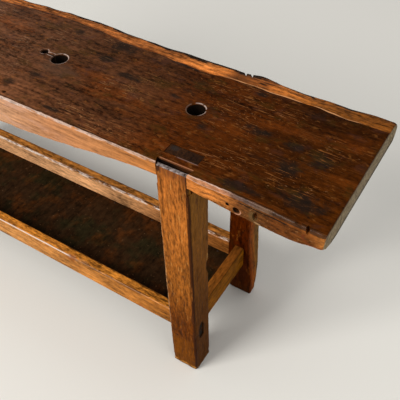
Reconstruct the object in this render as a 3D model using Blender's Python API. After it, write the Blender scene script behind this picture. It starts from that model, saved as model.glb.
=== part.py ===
"""Old carpenter's workbench: one thick live-edged slab on four legs, joined low down by
stretchers that carry a boarded shelf. Metres, +Z up. The origin lies on the floor under
the middle of the slab, +X runs along the bench to its right end and +Y to its rear edge.
"""
import math

import bmesh
import bpy

# Slab
TOP_LENGTH = 2.008
TOP_HEIGHT = 0.800
TOP_THICKNESS = 0.084
END_THIN = 0.029            # how much thinner the slab gets towards its right end
REAR_ARRIS = 0.327          # front face to the rear edge of the flat top
REAR_EDGE = 0.397           # front face to the live edge behind it
REAR_EDGE_DROP = 0.030      # live edge's widest line below the top
REAR_UNDERCUT = 0.018
FRONT_BAND = 0.080          # height of the sawn front face
FRONT_BAND_LOSS = 0.045     # what the live edge below takes from it near the right legs
FRONT_WANE = 0.045
ARRIS_WEAR = 0.007
END_WEAR = 0.003
END_LEAN = 0.006            # the front face comes forward a little at the right end
KNOT_SWELL = 0.014          # swelling of the live edge over the right rear leg
STATIONS = 40

# Holes in the slab
DOG_HOLE = 0.042
DOG_HOLE_COUNT = 4
DOG_HOLE_PITCH = 0.396
DOG_HOLE_FROM_END = 0.394
DOG_HOLE_FROM_FRONT = 0.188
SIDE_HOLE = 0.020
SIDE_HOLE_OFFSET = 0.055
SIDE_HOLE_SHIFT = 0.007     # behind the line of dog holes
SIDE_HOLE_DEPTH = 0.045
PIN_HOLE = 0.010
PIN_HOLE_FROM_END = 0.812
PIN_HOLE_FROM_FRONT = 0.021
PIN_HOLE_DEPTH = 0.030
KNOT_HOLE = 0.013
KNOT_HOLE_FROM_END = 0.187
KNOT_HOLE_DROP = 0.038
KNOT_HOLE_DEPTH = 0.018

# Legs
OVERHANG = 0.297            # slab end to the front leg's outer face
FRONT_LEG_WIDTH = 0.081
FRONT_LEG_DEPTH = 0.0735
FRONT_LEG_SWELL = 0.0065    # deeper at the top than at the shelf
REAR_LEG_SETBACK = 0.3156   # slab front face to the rear leg's front face
REAR_LEG_WIDTH = 0.0675
REAR_LEG_DEPTH = 0.0664
REAR_LEG_INSET = 0.010      # rear leg's outer face inside the front leg's
REAR_FOOT_OUT = 0.0145      # how far the rear foot spreads outwards
REAR_FOOT_IN = 0.0075       # what is hewn off its inner side
REAR_FOOT_BACK = 0.030      # what is hewn off its back
LEG_ARRIS = 0.004
FOOT_ARRIS = 0.005
SEAT_DEPTH = 0.002          # flat sunk into the slab's underside for each shoulder

# Leg tops
TONGUE_DEPTH = 0.0135
TONGUE_FLARE = 0.0045       # dovetail widening each side, front to back
TONGUE_DROP = 0.006         # end grain below the top
TONGUE_SLACK = 0.0012
NOTCH_DEPTH = 0.0175
TENON_SETBACK = 0.038
TENON_THICKNESS = 0.028
TENON_DROP = 0.002
STUB_WIDTH = 0.048
STUB_THICKNESS = 0.028
STUB_LENGTH = 0.030

# Stretchers
STRETCHER_TOP = 0.220
LONG_HEIGHT = 0.072
FRONT_STRETCHER_SETBACK = 0.024
FRONT_STRETCHER_THICKNESS = 0.030
FRONT_TENON = 0.018
THROUGH_TENON_SHORT = 0.003  # end of the through tenon inside the leg's outer face
REAR_STRETCHER_SETBACK = 0.001  # behind the rear leg's front face
REAR_STRETCHER_THICKNESS = 0.037
REAR_TENON = 0.012
REAR_TENON_LENGTH = 0.048
LONG_TENON_SHOULDER = 0.005
END_HEIGHT = 0.082
END_THICKNESS = 0.031
END_INSET = 0.025           # end stretcher's outer face inside the front leg's
END_TENON = 0.013
END_TENON_SHOULDER = 0.010
END_TENON_LENGTH = 0.020
STRETCHER_ARRIS = 0.0025
WEDGE_LENGTH = 0.045        # driven into the end of each through tenon
WEDGE_THICKNESS = 0.0036
WEDGE_TIP = 0.0014
PEG = 0.009                 # through the rear leg and the rear stretcher's tenon
PEG_FROM_SHOULDER = 0.020
PEG_LENGTH = 0.049
PEG_SUNK = 0.0008

# Shelf
LEDGER_WIDTH = 0.036
LEDGER_HEIGHT = 0.0135
LEDGER_LIP = 0.016          # part of the ledger that carries the boards
BOARD_THICKNESS = 0.0125
BOARD_COUNT = 9
BOARD_GAP = 0.0012
LAST_BOARD = 0.075          # narrow board at the right end
BOARD_ARRIS = 0.0010
NAIL = 0.0024
NAIL_HEAD = 0.0052
NAIL_HEAD_THICKNESS = 0.0008
BOARD_NAIL_LENGTH = 0.022
LEDGER_NAIL_LENGTH = 0.034
LEDGER_NAILS = 3            # in each ledger
NAIL_MARGIN = 0.012         # nearest a board nail comes to a leg

GAP = 0.0003                # between faces that touch
MORTISE_SPARE = 0.0010      # beyond the end of a blind tenon
OVERRUN = 0.020             # how far a cutter runs past the wood


for old in list(bpy.data.objects):
    bpy.data.objects.remove(old, do_unlink=True)


def ease(value, start, end):
    t = min(1.0, max(0.0, (value - start) / (end - start)))
    return t * t * (3.0 - 2.0 * t)


def swell(value, middle, reach, height):
    t = abs(value - middle) / reach
    return 0.0 if t >= 1.0 else 0.5 * height * (1.0 + math.cos(math.pi * t))


def mix(a, b, t):
    return a + (b - a) * t


# Places along the bench, for its right half. The left half mirrors them.
HALF = 0.5 * TOP_LENGTH
LEG_OUTER = HALF - OVERHANG
LEG_INNER = LEG_OUTER - FRONT_LEG_WIDTH
LEG_MIDDLE = LEG_OUTER - 0.5 * FRONT_LEG_WIDTH
REAR_OUTER = LEG_OUTER - REAR_LEG_INSET
REAR_INNER = REAR_OUTER - REAR_LEG_WIDTH
REAR_MIDDLE = REAR_OUTER - 0.5 * REAR_LEG_WIDTH
END_OUTER = LEG_OUTER - END_INSET
END_INNER = END_OUTER - END_THICKNESS
REAR_BACK = REAR_LEG_SETBACK + REAR_LEG_DEPTH


# The slab's edges, each as a rule of the distance from its right end.
def thickness(x):
    return TOP_THICKNESS - END_THIN * (1.0 - ease(HALF - x, 0.0, 0.8))


def front_line(x):
    return -END_LEAN * (1.0 - ease(HALF - x, 0.0, 0.2))


def front_band(x):
    band = FRONT_BAND - FRONT_BAND_LOSS * (1.0 - ease(HALF - x, 0.35, 0.83))
    band += swell(HALF - x, 0.12, 0.23, 0.37 * FRONT_BAND_LOSS)
    return min(band, thickness(x) - 0.003)


def rear_arris(x):
    d = HALF - x
    return (REAR_ARRIS + swell(d, 0.90, 0.30, 0.020) - swell(d, 0.46, 0.12, 0.007)
            - swell(d, 0.08, 0.09, 0.005) + swell(d, 1.55, 0.34, 0.010))


def rear_edge(x):
    d = HALF - x
    knot = swell(x, REAR_MIDDLE + 0.010, 0.055, KNOT_SWELL)
    return (REAR_EDGE + swell(d, 0.88, 0.28, 0.009) + swell(d, 1.50, 0.36, 0.007)
            - swell(d, 0.16, 0.16, 0.004) + knot)


def slab_ring(x):
    top, deep = TOP_HEIGHT, thickness(x)
    band, front = front_band(x), front_line(x)
    arris, edge = rear_arris(x), rear_edge(x)
    drop = REAR_EDGE_DROP
    return [
        (front, top - ARRIS_WEAR), (front + 0.3 * ARRIS_WEAR, top - 0.3 * ARRIS_WEAR),
        (front + ARRIS_WEAR, top), (arris, top),
        (mix(arris, edge, 0.50), top - 0.26 * drop), (mix(arris, edge, 0.88), top - 0.62 * drop),
        (edge, top - drop), (edge - 0.3 * REAR_UNDERCUT, top - mix(drop, deep, 0.5)),
        (edge - REAR_UNDERCUT, top - deep), (front + FRONT_WANE, top - deep),
        (front + 0.42 * FRONT_WANE, top - mix(band, deep, 0.5)), (front, top - band),
    ]


station_x = [mix(-HALF, HALF, i / STATIONS) for i in range(STATIONS + 1)]
Y_FRONT = min(front_line(x) for x in station_x)
Y_REAR = max(rear_edge(x) for x in station_x)
frame = bpy.data.objects.new("bench_frame", None)
frame.location = (0.0, -0.5 * (Y_FRONT + Y_REAR), 0.0)
bpy.context.collection.objects.link(frame)


def material(name, colour, roughness, metallic=0.0):
    made = bpy.data.materials.new(name)
    made.use_nodes = True
    shader = made.node_tree.nodes["Principled BSDF"]
    shader.inputs["Base Color"].default_value = (*colour, 1.0)
    shader.inputs["Roughness"].default_value = roughness
    shader.inputs["Metallic"].default_value = metallic
    made.diffuse_color = (*colour, 1.0)
    return made


TOP_WOOD = material("slab_wood", (0.078, 0.031, 0.011), 0.42)
LEG_WOOD = material("leg_wood", (0.262, 0.105, 0.026), 0.55)
STRETCHER_WOOD = material("stretcher_wood", (0.420, 0.185, 0.062), 0.50)
END_WOOD = material("end_stretcher_wood", (0.190, 0.085, 0.021), 0.55)
LEDGER_WOOD = material("ledger_wood", (0.150, 0.068, 0.022), 0.65)
SHELF_WOOD = material("shelf_wood", (0.026, 0.012, 0.006), 0.60)
IRON = material("nail_iron", (0.045, 0.036, 0.030), 0.65, 0.8)


def finish(bm, name, wood, location=(0.0, 0.0, 0.0)):
    """Turns bm into a named object on the bench frame; without wood it is a cutter."""
    bmesh.ops.recalc_face_normals(bm, faces=bm.faces)
    mesh = bpy.data.meshes.new(name)
    bm.to_mesh(mesh)
    bm.free()
    made = bpy.data.objects.new(name, mesh)
    made.parent = frame
    made.location = location
    bpy.context.collection.objects.link(made)
    if wood:
        mesh.materials.append(wood)
    else:
        made.hide_render = True
        made.display_type = "WIRE"
    return made


def loft(bm, rings):
    """Skins closed rings of points and caps both ends."""
    made = [[bm.verts.new(p) for p in ring] for ring in rings]
    for a, b in zip(made, made[1:]):
        for i in range(len(a)):
            j = (i + 1) % len(a)
            bm.faces.new((a[i], a[j], b[j], b[i]))
    bm.faces.new(list(reversed(made[0])))
    bm.faces.new(made[-1])


def box(bm, x, y, z):
    loft(bm, [[(x[0], y[0], h), (x[1], y[0], h), (x[1], y[1], h), (x[0], y[1], h)]
              for h in z])


def cylinder(bm, axis, middle, span, diameter, sides):
    """Round bar along axis, y or z, over span; middle is its place on the other two."""
    rings = []
    for place in span:
        ring = []
        for i in range(sides):
            a = middle[0] + 0.5 * diameter * math.cos(2 * math.pi * i / sides)
            b = middle[1] + 0.5 * diameter * math.sin(2 * math.pi * i / sides)
            ring.append((a, b, place) if axis == "z" else (a, place, b))
        rings.append(ring)
    loft(bm, rings)


def nail(bm, x, y, face, up, length, spare=0.0):
    """Square nail driven through a level face, down or up. With spare it is its hole."""
    way = 1.0 if up else -1.0
    half, head = 0.5 * NAIL + spare, 0.5 * NAIL_HEAD
    steps = ([(-OVERRUN * 0.1, half), (length + spare, half)] if spare else
             [(-GAP - NAIL_HEAD_THICKNESS, 0.7 * head), (-GAP - 0.4 * NAIL_HEAD_THICKNESS, head),
              (-GAP, head), (-GAP, half), (0.7 * length, half), (length, 0.3 * half)])
    loft(bm, [[(x - r, y - r, face + way * d), (x + r, y - r, face + way * d),
               (x + r, y + r, face + way * d), (x - r, y + r, face + way * d)]
              for d, r in steps])


def chamfered(a, b, arris):
    """Corners of the rectangle a by b, each cut off by arris."""
    (a0, a1), (b0, b1) = a, b
    return [(a0 + arris, b0), (a1 - arris, b0), (a1, b0 + arris), (a1, b1 - arris),
            (a1 - arris, b1), (a0 + arris, b1), (a0, b1 - arris), (a0, b0 + arris)]


def bar(bm, axis, length, a, b, arris):
    """Chamfered bar along axis, between the two places in length; a and b are its
    ranges on the two other axes."""
    rings = []
    for place in length:
        ring = []
        for u, v in chamfered(a, b, arris):
            ring.append((place, u, v) if axis == "x" else (u, place, v) if axis == "y"
                        else (u, v, place))
        rings.append(ring)
    loft(bm, rings)


def boolean(target, tool, operation):
    step = target.modifiers.new(operation.lower(), "BOOLEAN")
    step.operation = operation
    step.solver = "EXACT"
    step.object = tool


def sides(pair, side):
    """A range given for the right half, moved to the side wanted, low end first."""
    return tuple(sorted(side * value for value in pair))


def wider(pair, by=GAP):
    return pair[0] - by, pair[1] + by


# Heights of the leg shoulders, under flats cut into the slab.
def seat(side, inner, outer):
    return TOP_HEIGHT + SEAT_DEPTH - min(thickness(side * inner), thickness(side * outer))


# Legs. Each front leg ends in a dovetailed tongue in the slab's front edge and in a
# tenon that shows in the top. Each rear leg ends in a stub tenon.
def front_leg_back(z, shoulder):
    return FRONT_LEG_DEPTH + FRONT_LEG_SWELL * ease(z, STRETCHER_TOP + 0.02, shoulder)


def tongue_outline(side, slack, depth):
    """Corners of the dovetail, run forward past the front face when slack is given."""
    front = -OVERRUN if slack else 0.0
    outline = []
    for y in (front, depth):
        half = 0.5 * FRONT_LEG_WIDTH - TONGUE_FLARE * (1.0 - y / TONGUE_DEPTH) + slack
        outline.append((side * LEG_MIDDLE - half, side * LEG_MIDDLE + half, y))
    (a, b, y0), (c, d, y1) = outline
    return [(a, y0), (b, y0), (d, y1), (c, y1)]


def prism(bm, outline, z):
    loft(bm, [[(x, y, h) for x, y in outline] for h in z])


front_tenon_y = (FRONT_STRETCHER_SETBACK, FRONT_STRETCHER_SETBACK + FRONT_TENON)
rear_stretcher_y = (REAR_LEG_SETBACK + REAR_STRETCHER_SETBACK,
                    REAR_LEG_SETBACK + REAR_STRETCHER_SETBACK + REAR_STRETCHER_THICKNESS)
rear_tenon_y = (rear_stretcher_y[1] - REAR_TENON, rear_stretcher_y[1])
long_z = (STRETCHER_TOP - LONG_HEIGHT, STRETCHER_TOP)
long_tenon_z = wider(long_z, -LONG_TENON_SHOULDER)
end_z = (STRETCHER_TOP - END_HEIGHT, STRETCHER_TOP)
end_tenon_z = wider(end_z, -END_TENON_SHOULDER)
end_middle = 0.5 * (END_INNER + END_OUTER)
end_tenon_x = (end_middle - 0.5 * END_TENON, end_middle + 0.5 * END_TENON)
tenon_y = (TENON_SETBACK, TENON_SETBACK + TENON_THICKNESS)
stub_y = (REAR_LEG_SETBACK + 0.5 * (REAR_LEG_DEPTH - STUB_THICKNESS),
          REAR_LEG_SETBACK + 0.5 * (REAR_LEG_DEPTH + STUB_THICKNESS))
stub_x = (REAR_MIDDLE - 0.5 * STUB_WIDTH, REAR_MIDDLE + 0.5 * STUB_WIDTH)


def front_leg(side, name):
    shoulder = seat(side, LEG_INNER, LEG_OUTER) - GAP
    bm = bmesh.new()
    rings = []
    for z in (0.0, FOOT_ARRIS, end_z[0] - 0.02, STRETCHER_TOP + 0.02,
              mix(STRETCHER_TOP + 0.02, shoulder, 0.33),
              mix(STRETCHER_TOP + 0.02, shoulder, 0.66), shoulder):
        worn = FOOT_ARRIS if z == 0.0 else 0.0
        x = wider((LEG_INNER, LEG_OUTER), -worn)
        y = wider((0.0, front_leg_back(z, shoulder)), -worn)
        rings.append([(side * u, v, z) for u, v in chamfered(x, y, LEG_ARRIS)])
    loft(bm, rings)
    leg = finish(bm, name, LEG_WOOD)

    bm = bmesh.new()
    prism(bm, tongue_outline(side, 0.0, TONGUE_DEPTH),
          (shoulder - 0.5 * OVERRUN, TOP_HEIGHT - TONGUE_DROP))
    box(bm, sides((LEG_INNER, LEG_OUTER), side), tenon_y,
        (shoulder - 0.5 * OVERRUN, TOP_HEIGHT - TENON_DROP))
    boolean(leg, finish(bm, name + "_tongue_and_tenon", None), "UNION")

    bm = bmesh.new()
    box(bm, sides((LEG_INNER - OVERRUN, LEG_OUTER + OVERRUN), side), wider(front_tenon_y),
        wider(long_tenon_z))
    box(bm, wider(sides(end_tenon_x, side)),
        (FRONT_LEG_DEPTH - END_TENON_LENGTH - MORTISE_SPARE, FRONT_LEG_DEPTH + OVERRUN),
        wider(end_tenon_z))
    boolean(leg, finish(bm, name + "_mortises", None), "DIFFERENCE")
    return leg


def rear_leg_back(z):
    return REAR_BACK - REAR_FOOT_BACK * (1.0 - ease(z, -0.02, STRETCHER_TOP + 0.005))


def peg(bm, side, spare=0.0):
    """Peg driven in from behind. With spare it is its hole, open at the back."""
    height = 0.5 * sum(long_tenon_z)
    end = rear_leg_back(height) - PEG_SUNK
    span = (end - PEG_LENGTH - spare, end + (OVERRUN if spare else 0.0))
    cylinder(bm, "y", (side * (REAR_INNER + PEG_FROM_SHOULDER), height), span,
             PEG + spare, 16)


def rear_leg(side, name):
    shoulder = seat(side, REAR_INNER, REAR_OUTER) - GAP
    spread_top = STRETCHER_TOP + 0.04
    bm = bmesh.new()
    rings = []
    for z in (0.0, FOOT_ARRIS, 0.05, 0.10, end_z[0] - 0.01, mix(end_z[0], STRETCHER_TOP, 0.5),
              STRETCHER_TOP, spread_top, 0.5 * (spread_top + shoulder), shoulder):
        worn = FOOT_ARRIS if z == 0.0 else 0.0
        outer = REAR_OUTER + REAR_FOOT_OUT * (1.0 - ease(z, 0.05, spread_top))
        inner = REAR_INNER + REAR_FOOT_IN * (1.0 - ease(z, -0.06, end_z[0] - 0.01))
        x = wider((inner, outer), -worn)
        y = wider((REAR_LEG_SETBACK, rear_leg_back(z)), -worn)
        rings.append([(side * u, v, z) for u, v in chamfered(x, y, LEG_ARRIS)])
    loft(bm, rings)
    leg = finish(bm, name, LEG_WOOD)

    bm = bmesh.new()
    box(bm, sides(stub_x, side), stub_y, (shoulder - 0.5 * OVERRUN, shoulder + STUB_LENGTH))
    boolean(leg, finish(bm, name + "_stub", None), "UNION")

    bm = bmesh.new()
    box(bm, sides((REAR_INNER - OVERRUN, REAR_INNER + REAR_TENON_LENGTH + MORTISE_SPARE), side),
        wider(rear_tenon_y), wider(long_tenon_z))
    box(bm, wider(sides(end_tenon_x, side)),
        (REAR_LEG_SETBACK - OVERRUN, REAR_LEG_SETBACK + END_TENON_LENGTH + MORTISE_SPARE),
        wider(end_tenon_z))
    boolean(leg, finish(bm, name + "_mortises", None), "DIFFERENCE")

    bm = bmesh.new()
    peg(bm, side, 2.0 * GAP)
    boolean(leg, finish(bm, name + "_peg_hole", None), "DIFFERENCE")
    return leg


front_leg(1, "front_right_leg")
front_leg(-1, "front_left_leg")
rear_leg(1, "rear_right_leg")
rear_leg(-1, "rear_left_leg")

# Slab, lofted along the bench, then cut for its legs and bored.
bm = bmesh.new()
rings = []
for x in station_x:
    ring = slab_ring(x)
    if abs(x) < HALF - 1e-6:
        rings.append([(x, y, z) for y, z in ring])
        continue
    # Worn ends: the last ring is drawn in towards the middle of the section.
    y_mid = 0.5 * (ring[0][0] + ring[6][0])
    z_mid = TOP_HEIGHT - 0.5 * thickness(x)
    end_ring = [(x, mix(y, y_mid, END_WEAR / 0.18), mix(z, z_mid, END_WEAR / 0.030))
                for y, z in ring]
    full = [(math.copysign(HALF - END_WEAR, x), y, z) for y, z in ring]
    rings += [end_ring, full] if x < 0 else [full, end_ring]
loft(bm, rings)
bench_top = finish(bm, "bench_top", TOP_WOOD)

TOP_SPAN = (TOP_HEIGHT - TOP_THICKNESS - OVERRUN, TOP_HEIGHT + OVERRUN)
bm = bmesh.new()
for side in (1, -1):
    shoulder = seat(side, LEG_INNER, LEG_OUTER)
    prism(bm, tongue_outline(side, TONGUE_SLACK, NOTCH_DEPTH), TOP_SPAN)
    box(bm, wider(sides((LEG_INNER, LEG_OUTER), side)), wider(tenon_y), TOP_SPAN)
    rear_shoulder = seat(side, REAR_INNER, REAR_OUTER)
    box(bm, wider(sides(stub_x, side)), wider(stub_y),
        (TOP_SPAN[0], rear_shoulder + STUB_LENGTH + MORTISE_SPARE))
dog_x = [HALF - DOG_HOLE_FROM_END - i * DOG_HOLE_PITCH for i in range(DOG_HOLE_COUNT)]
for x in dog_x:
    cylinder(bm, "z", (x, DOG_HOLE_FROM_FRONT), TOP_SPAN, DOG_HOLE, 32)
cylinder(bm, "z", (dog_x[1] - SIDE_HOLE_OFFSET, DOG_HOLE_FROM_FRONT + SIDE_HOLE_SHIFT),
         (TOP_HEIGHT - SIDE_HOLE_DEPTH, TOP_SPAN[1]), SIDE_HOLE, 20)
cylinder(bm, "z", (HALF - PIN_HOLE_FROM_END, PIN_HOLE_FROM_FRONT),
         (TOP_HEIGHT - PIN_HOLE_DEPTH, TOP_SPAN[1]), PIN_HOLE, 16)
boolean(bench_top, finish(bm, "bench_top_holes", None), "DIFFERENCE")

bm = bmesh.new()
for side in (1, -1):
    box(bm, wider(sides((LEG_INNER, LEG_OUTER), side)),
        (-OVERRUN, FRONT_LEG_DEPTH + FRONT_LEG_SWELL + GAP),
        (TOP_SPAN[0], seat(side, LEG_INNER, LEG_OUTER)))
    box(bm, wider(sides((REAR_INNER, REAR_OUTER), side)),
        (REAR_LEG_SETBACK - GAP, REAR_BACK + 2.0 * OVERRUN),
        (TOP_SPAN[0], seat(side, REAR_INNER, REAR_OUTER)))
cylinder(bm, "y", (HALF - KNOT_HOLE_FROM_END, TOP_HEIGHT - KNOT_HOLE_DROP),
         (-OVERRUN, KNOT_HOLE_DEPTH), KNOT_HOLE, 14)
boolean(bench_top, finish(bm, "bench_top_seats", None), "DIFFERENCE")

# Stretchers. The front one runs through its legs, the others end in blind tenons.
bm = bmesh.new()
front_stretcher_y = (FRONT_STRETCHER_SETBACK,
                     FRONT_STRETCHER_SETBACK + FRONT_STRETCHER_THICKNESS)
bar(bm, "x", (-LEG_INNER + GAP, LEG_INNER - GAP), front_stretcher_y, long_z, STRETCHER_ARRIS)
front_stretcher = finish(bm, "front_stretcher", STRETCHER_WOOD)
bm = bmesh.new()
for side in (1, -1):
    box(bm, sides((LEG_INNER - OVERRUN, LEG_OUTER - THROUGH_TENON_SHORT), side),
        wider(front_tenon_y, -GAP), long_tenon_z)
boolean(front_stretcher, finish(bm, "front_stretcher_tenons", None), "UNION")


def wedge(bm, side, spare=0.0):
    """Wedge in the end of a through tenon, thin in height. With spare it is its kerf."""
    middle = 0.5 * sum(long_tenon_z)
    out = LEG_OUTER - THROUGH_TENON_SHORT
    slope = 0.5 * (WEDGE_THICKNESS - WEDGE_TIP) / WEDGE_LENGTH
    past = OVERRUN if spare else 0.0
    y = wider(front_tenon_y, past if spare else -GAP)
    rings = []
    for x, half in ((out - WEDGE_LENGTH - spare, 0.5 * WEDGE_TIP - slope * spare + spare),
                    (out + past, 0.5 * WEDGE_THICKNESS + slope * past + spare)):
        rings.append([(side * x, y[0], middle - half), (side * x, y[1], middle - half),
                      (side * x, y[1], middle + half), (side * x, y[0], middle + half)])
    loft(bm, rings)


kerfs = bmesh.new()
for side, name in ((1, "right_tenon_wedge"), (-1, "left_tenon_wedge")):
    wedge(kerfs, side, GAP)
    bm = bmesh.new()
    wedge(bm, side)
    finish(bm, name, LEG_WOOD)
boolean(front_stretcher, finish(kerfs, "front_stretcher_kerfs", None), "DIFFERENCE")

bm = bmesh.new()
bar(bm, "x", (-REAR_INNER + GAP, REAR_INNER - GAP), rear_stretcher_y, long_z, STRETCHER_ARRIS)
rear_stretcher = finish(bm, "rear_stretcher", STRETCHER_WOOD)
bm = bmesh.new()
for side in (1, -1):
    box(bm, sides((REAR_INNER - OVERRUN, REAR_INNER + REAR_TENON_LENGTH), side),
        wider(rear_tenon_y, -GAP), long_tenon_z)
boolean(rear_stretcher, finish(bm, "rear_stretcher_tenons", None), "UNION")
holes = bmesh.new()
for side, name in ((1, "rear_right_peg"), (-1, "rear_left_peg")):
    peg(holes, side, 2.0 * GAP)
    bm = bmesh.new()
    peg(bm, side)
    finish(bm, name, LEG_WOOD)
boolean(rear_stretcher, finish(holes, "rear_stretcher_peg_holes", None), "DIFFERENCE")

for side, name in ((1, "right_end_stretcher"), (-1, "left_end_stretcher")):
    bm = bmesh.new()
    bar(bm, "y", (FRONT_LEG_DEPTH + GAP, REAR_LEG_SETBACK - GAP),
        sides((END_INNER, END_OUTER), side), end_z, STRETCHER_ARRIS)
    end_stretcher = finish(bm, name, END_WOOD)
    bm = bmesh.new()
    box(bm, sides(end_tenon_x, side),
        (FRONT_LEG_DEPTH - END_TENON_LENGTH, FRONT_LEG_DEPTH + OVERRUN), end_tenon_z)
    box(bm, sides(end_tenon_x, side),
        (REAR_LEG_SETBACK - OVERRUN, REAR_LEG_SETBACK + END_TENON_LENGTH), end_tenon_z)
    boolean(end_stretcher, finish(bm, name + "_tenons", None), "UNION")

# Ledgers, nailed up under the long stretchers, with a lip that carries the boards.
ledger_z = (long_z[0] - GAP - LEDGER_HEIGHT, long_z[0] - GAP)
front_ledger_y = (front_stretcher_y[1] + LEDGER_LIP - LEDGER_WIDTH,
                  front_stretcher_y[1] + LEDGER_LIP)
rear_ledger_y = (rear_stretcher_y[0] - LEDGER_LIP,
                 rear_stretcher_y[0] - LEDGER_LIP + LEDGER_WIDTH)
ledger_holes = bmesh.new()
for name, reach, y in (
        ("front", LEG_INNER, 0.5 * (max(front_ledger_y[0], front_stretcher_y[0])
                                    + front_stretcher_y[1])),
        ("rear", REAR_INNER, 0.5 * (rear_stretcher_y[0]
                                    + min(rear_ledger_y[1], rear_stretcher_y[1])))):
    for i in range(LEDGER_NAILS):
        x = mix(-reach, reach, (i + 0.5) / LEDGER_NAILS)
        nail(ledger_holes, x, y, ledger_z[0], True, LEDGER_NAIL_LENGTH, GAP)
        bm = bmesh.new()
        nail(bm, x, y, ledger_z[0], True, LEDGER_NAIL_LENGTH)
        finish(bm, f"{name}_ledger_nail_{i + 1}", IRON)
ledger_nail_holes = finish(ledger_holes, "ledger_nail_holes", None)
boolean(front_stretcher, ledger_nail_holes, "DIFFERENCE")
boolean(rear_stretcher, ledger_nail_holes, "DIFFERENCE")

shelf_right = END_INNER - GAP
board_pitch = (2.0 * shelf_right - LAST_BOARD) / (BOARD_COUNT - 1)
board_y = (front_stretcher_y[1] + BOARD_GAP,
           min(rear_stretcher_y[0], REAR_LEG_SETBACK) - 2.0 * GAP)
board_z = (long_z[0], long_z[0] + BOARD_THICKNESS)
board_x = [shelf_right, shelf_right - LAST_BOARD]
while len(board_x) <= BOARD_COUNT:
    board_x.append(board_x[-1] - board_pitch)
board_holes = bmesh.new()
nail_reach = min(LEG_INNER, REAR_INNER) - NAIL_MARGIN
for number, (high, low) in enumerate(zip(board_x, board_x[1:]), 1):
    x = 0.5 * (min(high, nail_reach) + max(low, -nail_reach))
    for name, y in (("front", front_stretcher_y[1] + 0.5 * LEDGER_LIP),
                    ("rear", rear_stretcher_y[0] - 0.5 * LEDGER_LIP)):
        nail(board_holes, x, y, board_z[1], False, BOARD_NAIL_LENGTH, GAP)
        bm = bmesh.new()
        nail(bm, x, y, board_z[1], False, BOARD_NAIL_LENGTH)
        finish(bm, f"{name}_board_nail_{number}", IRON)
board_nail_holes = finish(board_holes, "board_nail_holes", None)

for name, reach, y in (("front_ledger", LEG_INNER, front_ledger_y),
                       ("rear_ledger", REAR_INNER, rear_ledger_y)):
    bm = bmesh.new()
    bar(bm, "x", (-reach + GAP, reach - GAP), y, ledger_z, BOARD_ARRIS)
    ledger = finish(bm, name, LEDGER_WOOD)
    boolean(ledger, ledger_nail_holes, "DIFFERENCE")
    boolean(ledger, board_nail_holes, "DIFFERENCE")

# Shelf boards, laid crosswise on the ledgers between the end stretchers, cut round the
# legs and nailed down.
bm = bmesh.new()
for side in (1, -1):
    box(bm, wider(sides((LEG_INNER, LEG_OUTER), side)),
        (-OVERRUN, FRONT_LEG_DEPTH + GAP), (0.0, STRETCHER_TOP))
    box(bm, wider(sides((REAR_INNER, REAR_OUTER), side)),
        (REAR_LEG_SETBACK - GAP, REAR_BACK + OVERRUN), (0.0, STRETCHER_TOP))
leg_clearance = finish(bm, "leg_clearance", None)

for number, (high, low) in enumerate(zip(board_x, board_x[1:]), 1):
    bm = bmesh.new()
    last = number == BOARD_COUNT
    bar(bm, "y", board_y, (low + (0.0 if last else BOARD_GAP), high), board_z, BOARD_ARRIS)
    board = finish(bm, f"shelf_board_{number}", SHELF_WOOD)
    boolean(board, leg_clearance, "DIFFERENCE")
    boolean(board, board_nail_holes, "DIFFERENCE")
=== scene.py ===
import math

import bmesh
import bpy
from mathutils import Matrix, Vector, noise


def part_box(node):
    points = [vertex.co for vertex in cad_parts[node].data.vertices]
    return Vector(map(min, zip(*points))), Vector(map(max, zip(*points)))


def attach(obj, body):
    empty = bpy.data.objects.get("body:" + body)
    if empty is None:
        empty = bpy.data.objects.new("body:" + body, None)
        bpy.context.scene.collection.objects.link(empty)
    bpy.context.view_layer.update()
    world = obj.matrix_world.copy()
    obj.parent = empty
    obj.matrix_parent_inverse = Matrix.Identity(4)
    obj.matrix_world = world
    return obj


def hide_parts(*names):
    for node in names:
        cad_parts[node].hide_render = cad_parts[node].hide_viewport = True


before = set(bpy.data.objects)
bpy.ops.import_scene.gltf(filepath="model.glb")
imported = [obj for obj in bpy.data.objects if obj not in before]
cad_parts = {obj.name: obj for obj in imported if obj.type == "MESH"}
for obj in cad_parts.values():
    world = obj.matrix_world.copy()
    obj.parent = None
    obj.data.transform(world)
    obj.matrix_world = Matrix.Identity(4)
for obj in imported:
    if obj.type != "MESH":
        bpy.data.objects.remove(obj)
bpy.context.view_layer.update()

# The slab top. One old hardwood plank, sawn flat above and along its front edge, with the
# tree's own live edge left at the back and under the front. It is bored for bench dogs and
# notched for the leg tenons.
HALF = 1.004
TOP = 0.8
FRONT = -0.20033            # plane of the front edge
THICK, END_THIN = 0.084, 0.029
LEG_OUTER, LEG_WIDTH = 0.707, 0.081
LEG_INNER = LEG_OUTER - LEG_WIDTH
REAR_OUTER, REAR_WIDTH = 0.697, 0.0675
REAR_INNER = REAR_OUTER - REAR_WIDTH


def ease(value, start, end):
    """Rises smoothly from 0 to 1 while value runs from start to end."""
    t = min(1.0, max(0.0, (value - start) / (end - start)))
    return t * t * (3.0 - 2.0 * t)


def swell(value, middle, reach, height):
    """A smooth hump; value is a number, or a Flow in a material."""
    t = abs(value - middle) / reach
    if isinstance(t, float):
        return 0.0 if t >= 1.0 else 0.5 * height * (1.0 + math.cos(math.pi * t))
    return ((t.math("MINIMUM", 1.0) * math.pi).math("COSINE") + 1.0) * (0.5 * height)


def rounded(value, start, reach, amount):
    """What a quarter-round corner takes off, from nothing at start to amount past its reach."""
    t = min(1.0, max(0.0, (value - start) / reach))
    return amount * (1.0 - math.sqrt(1.0 - t * t))


def mix(a, b, t):
    """The place between a and b, a where t is 0."""
    return a + (b - a) * t


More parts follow.
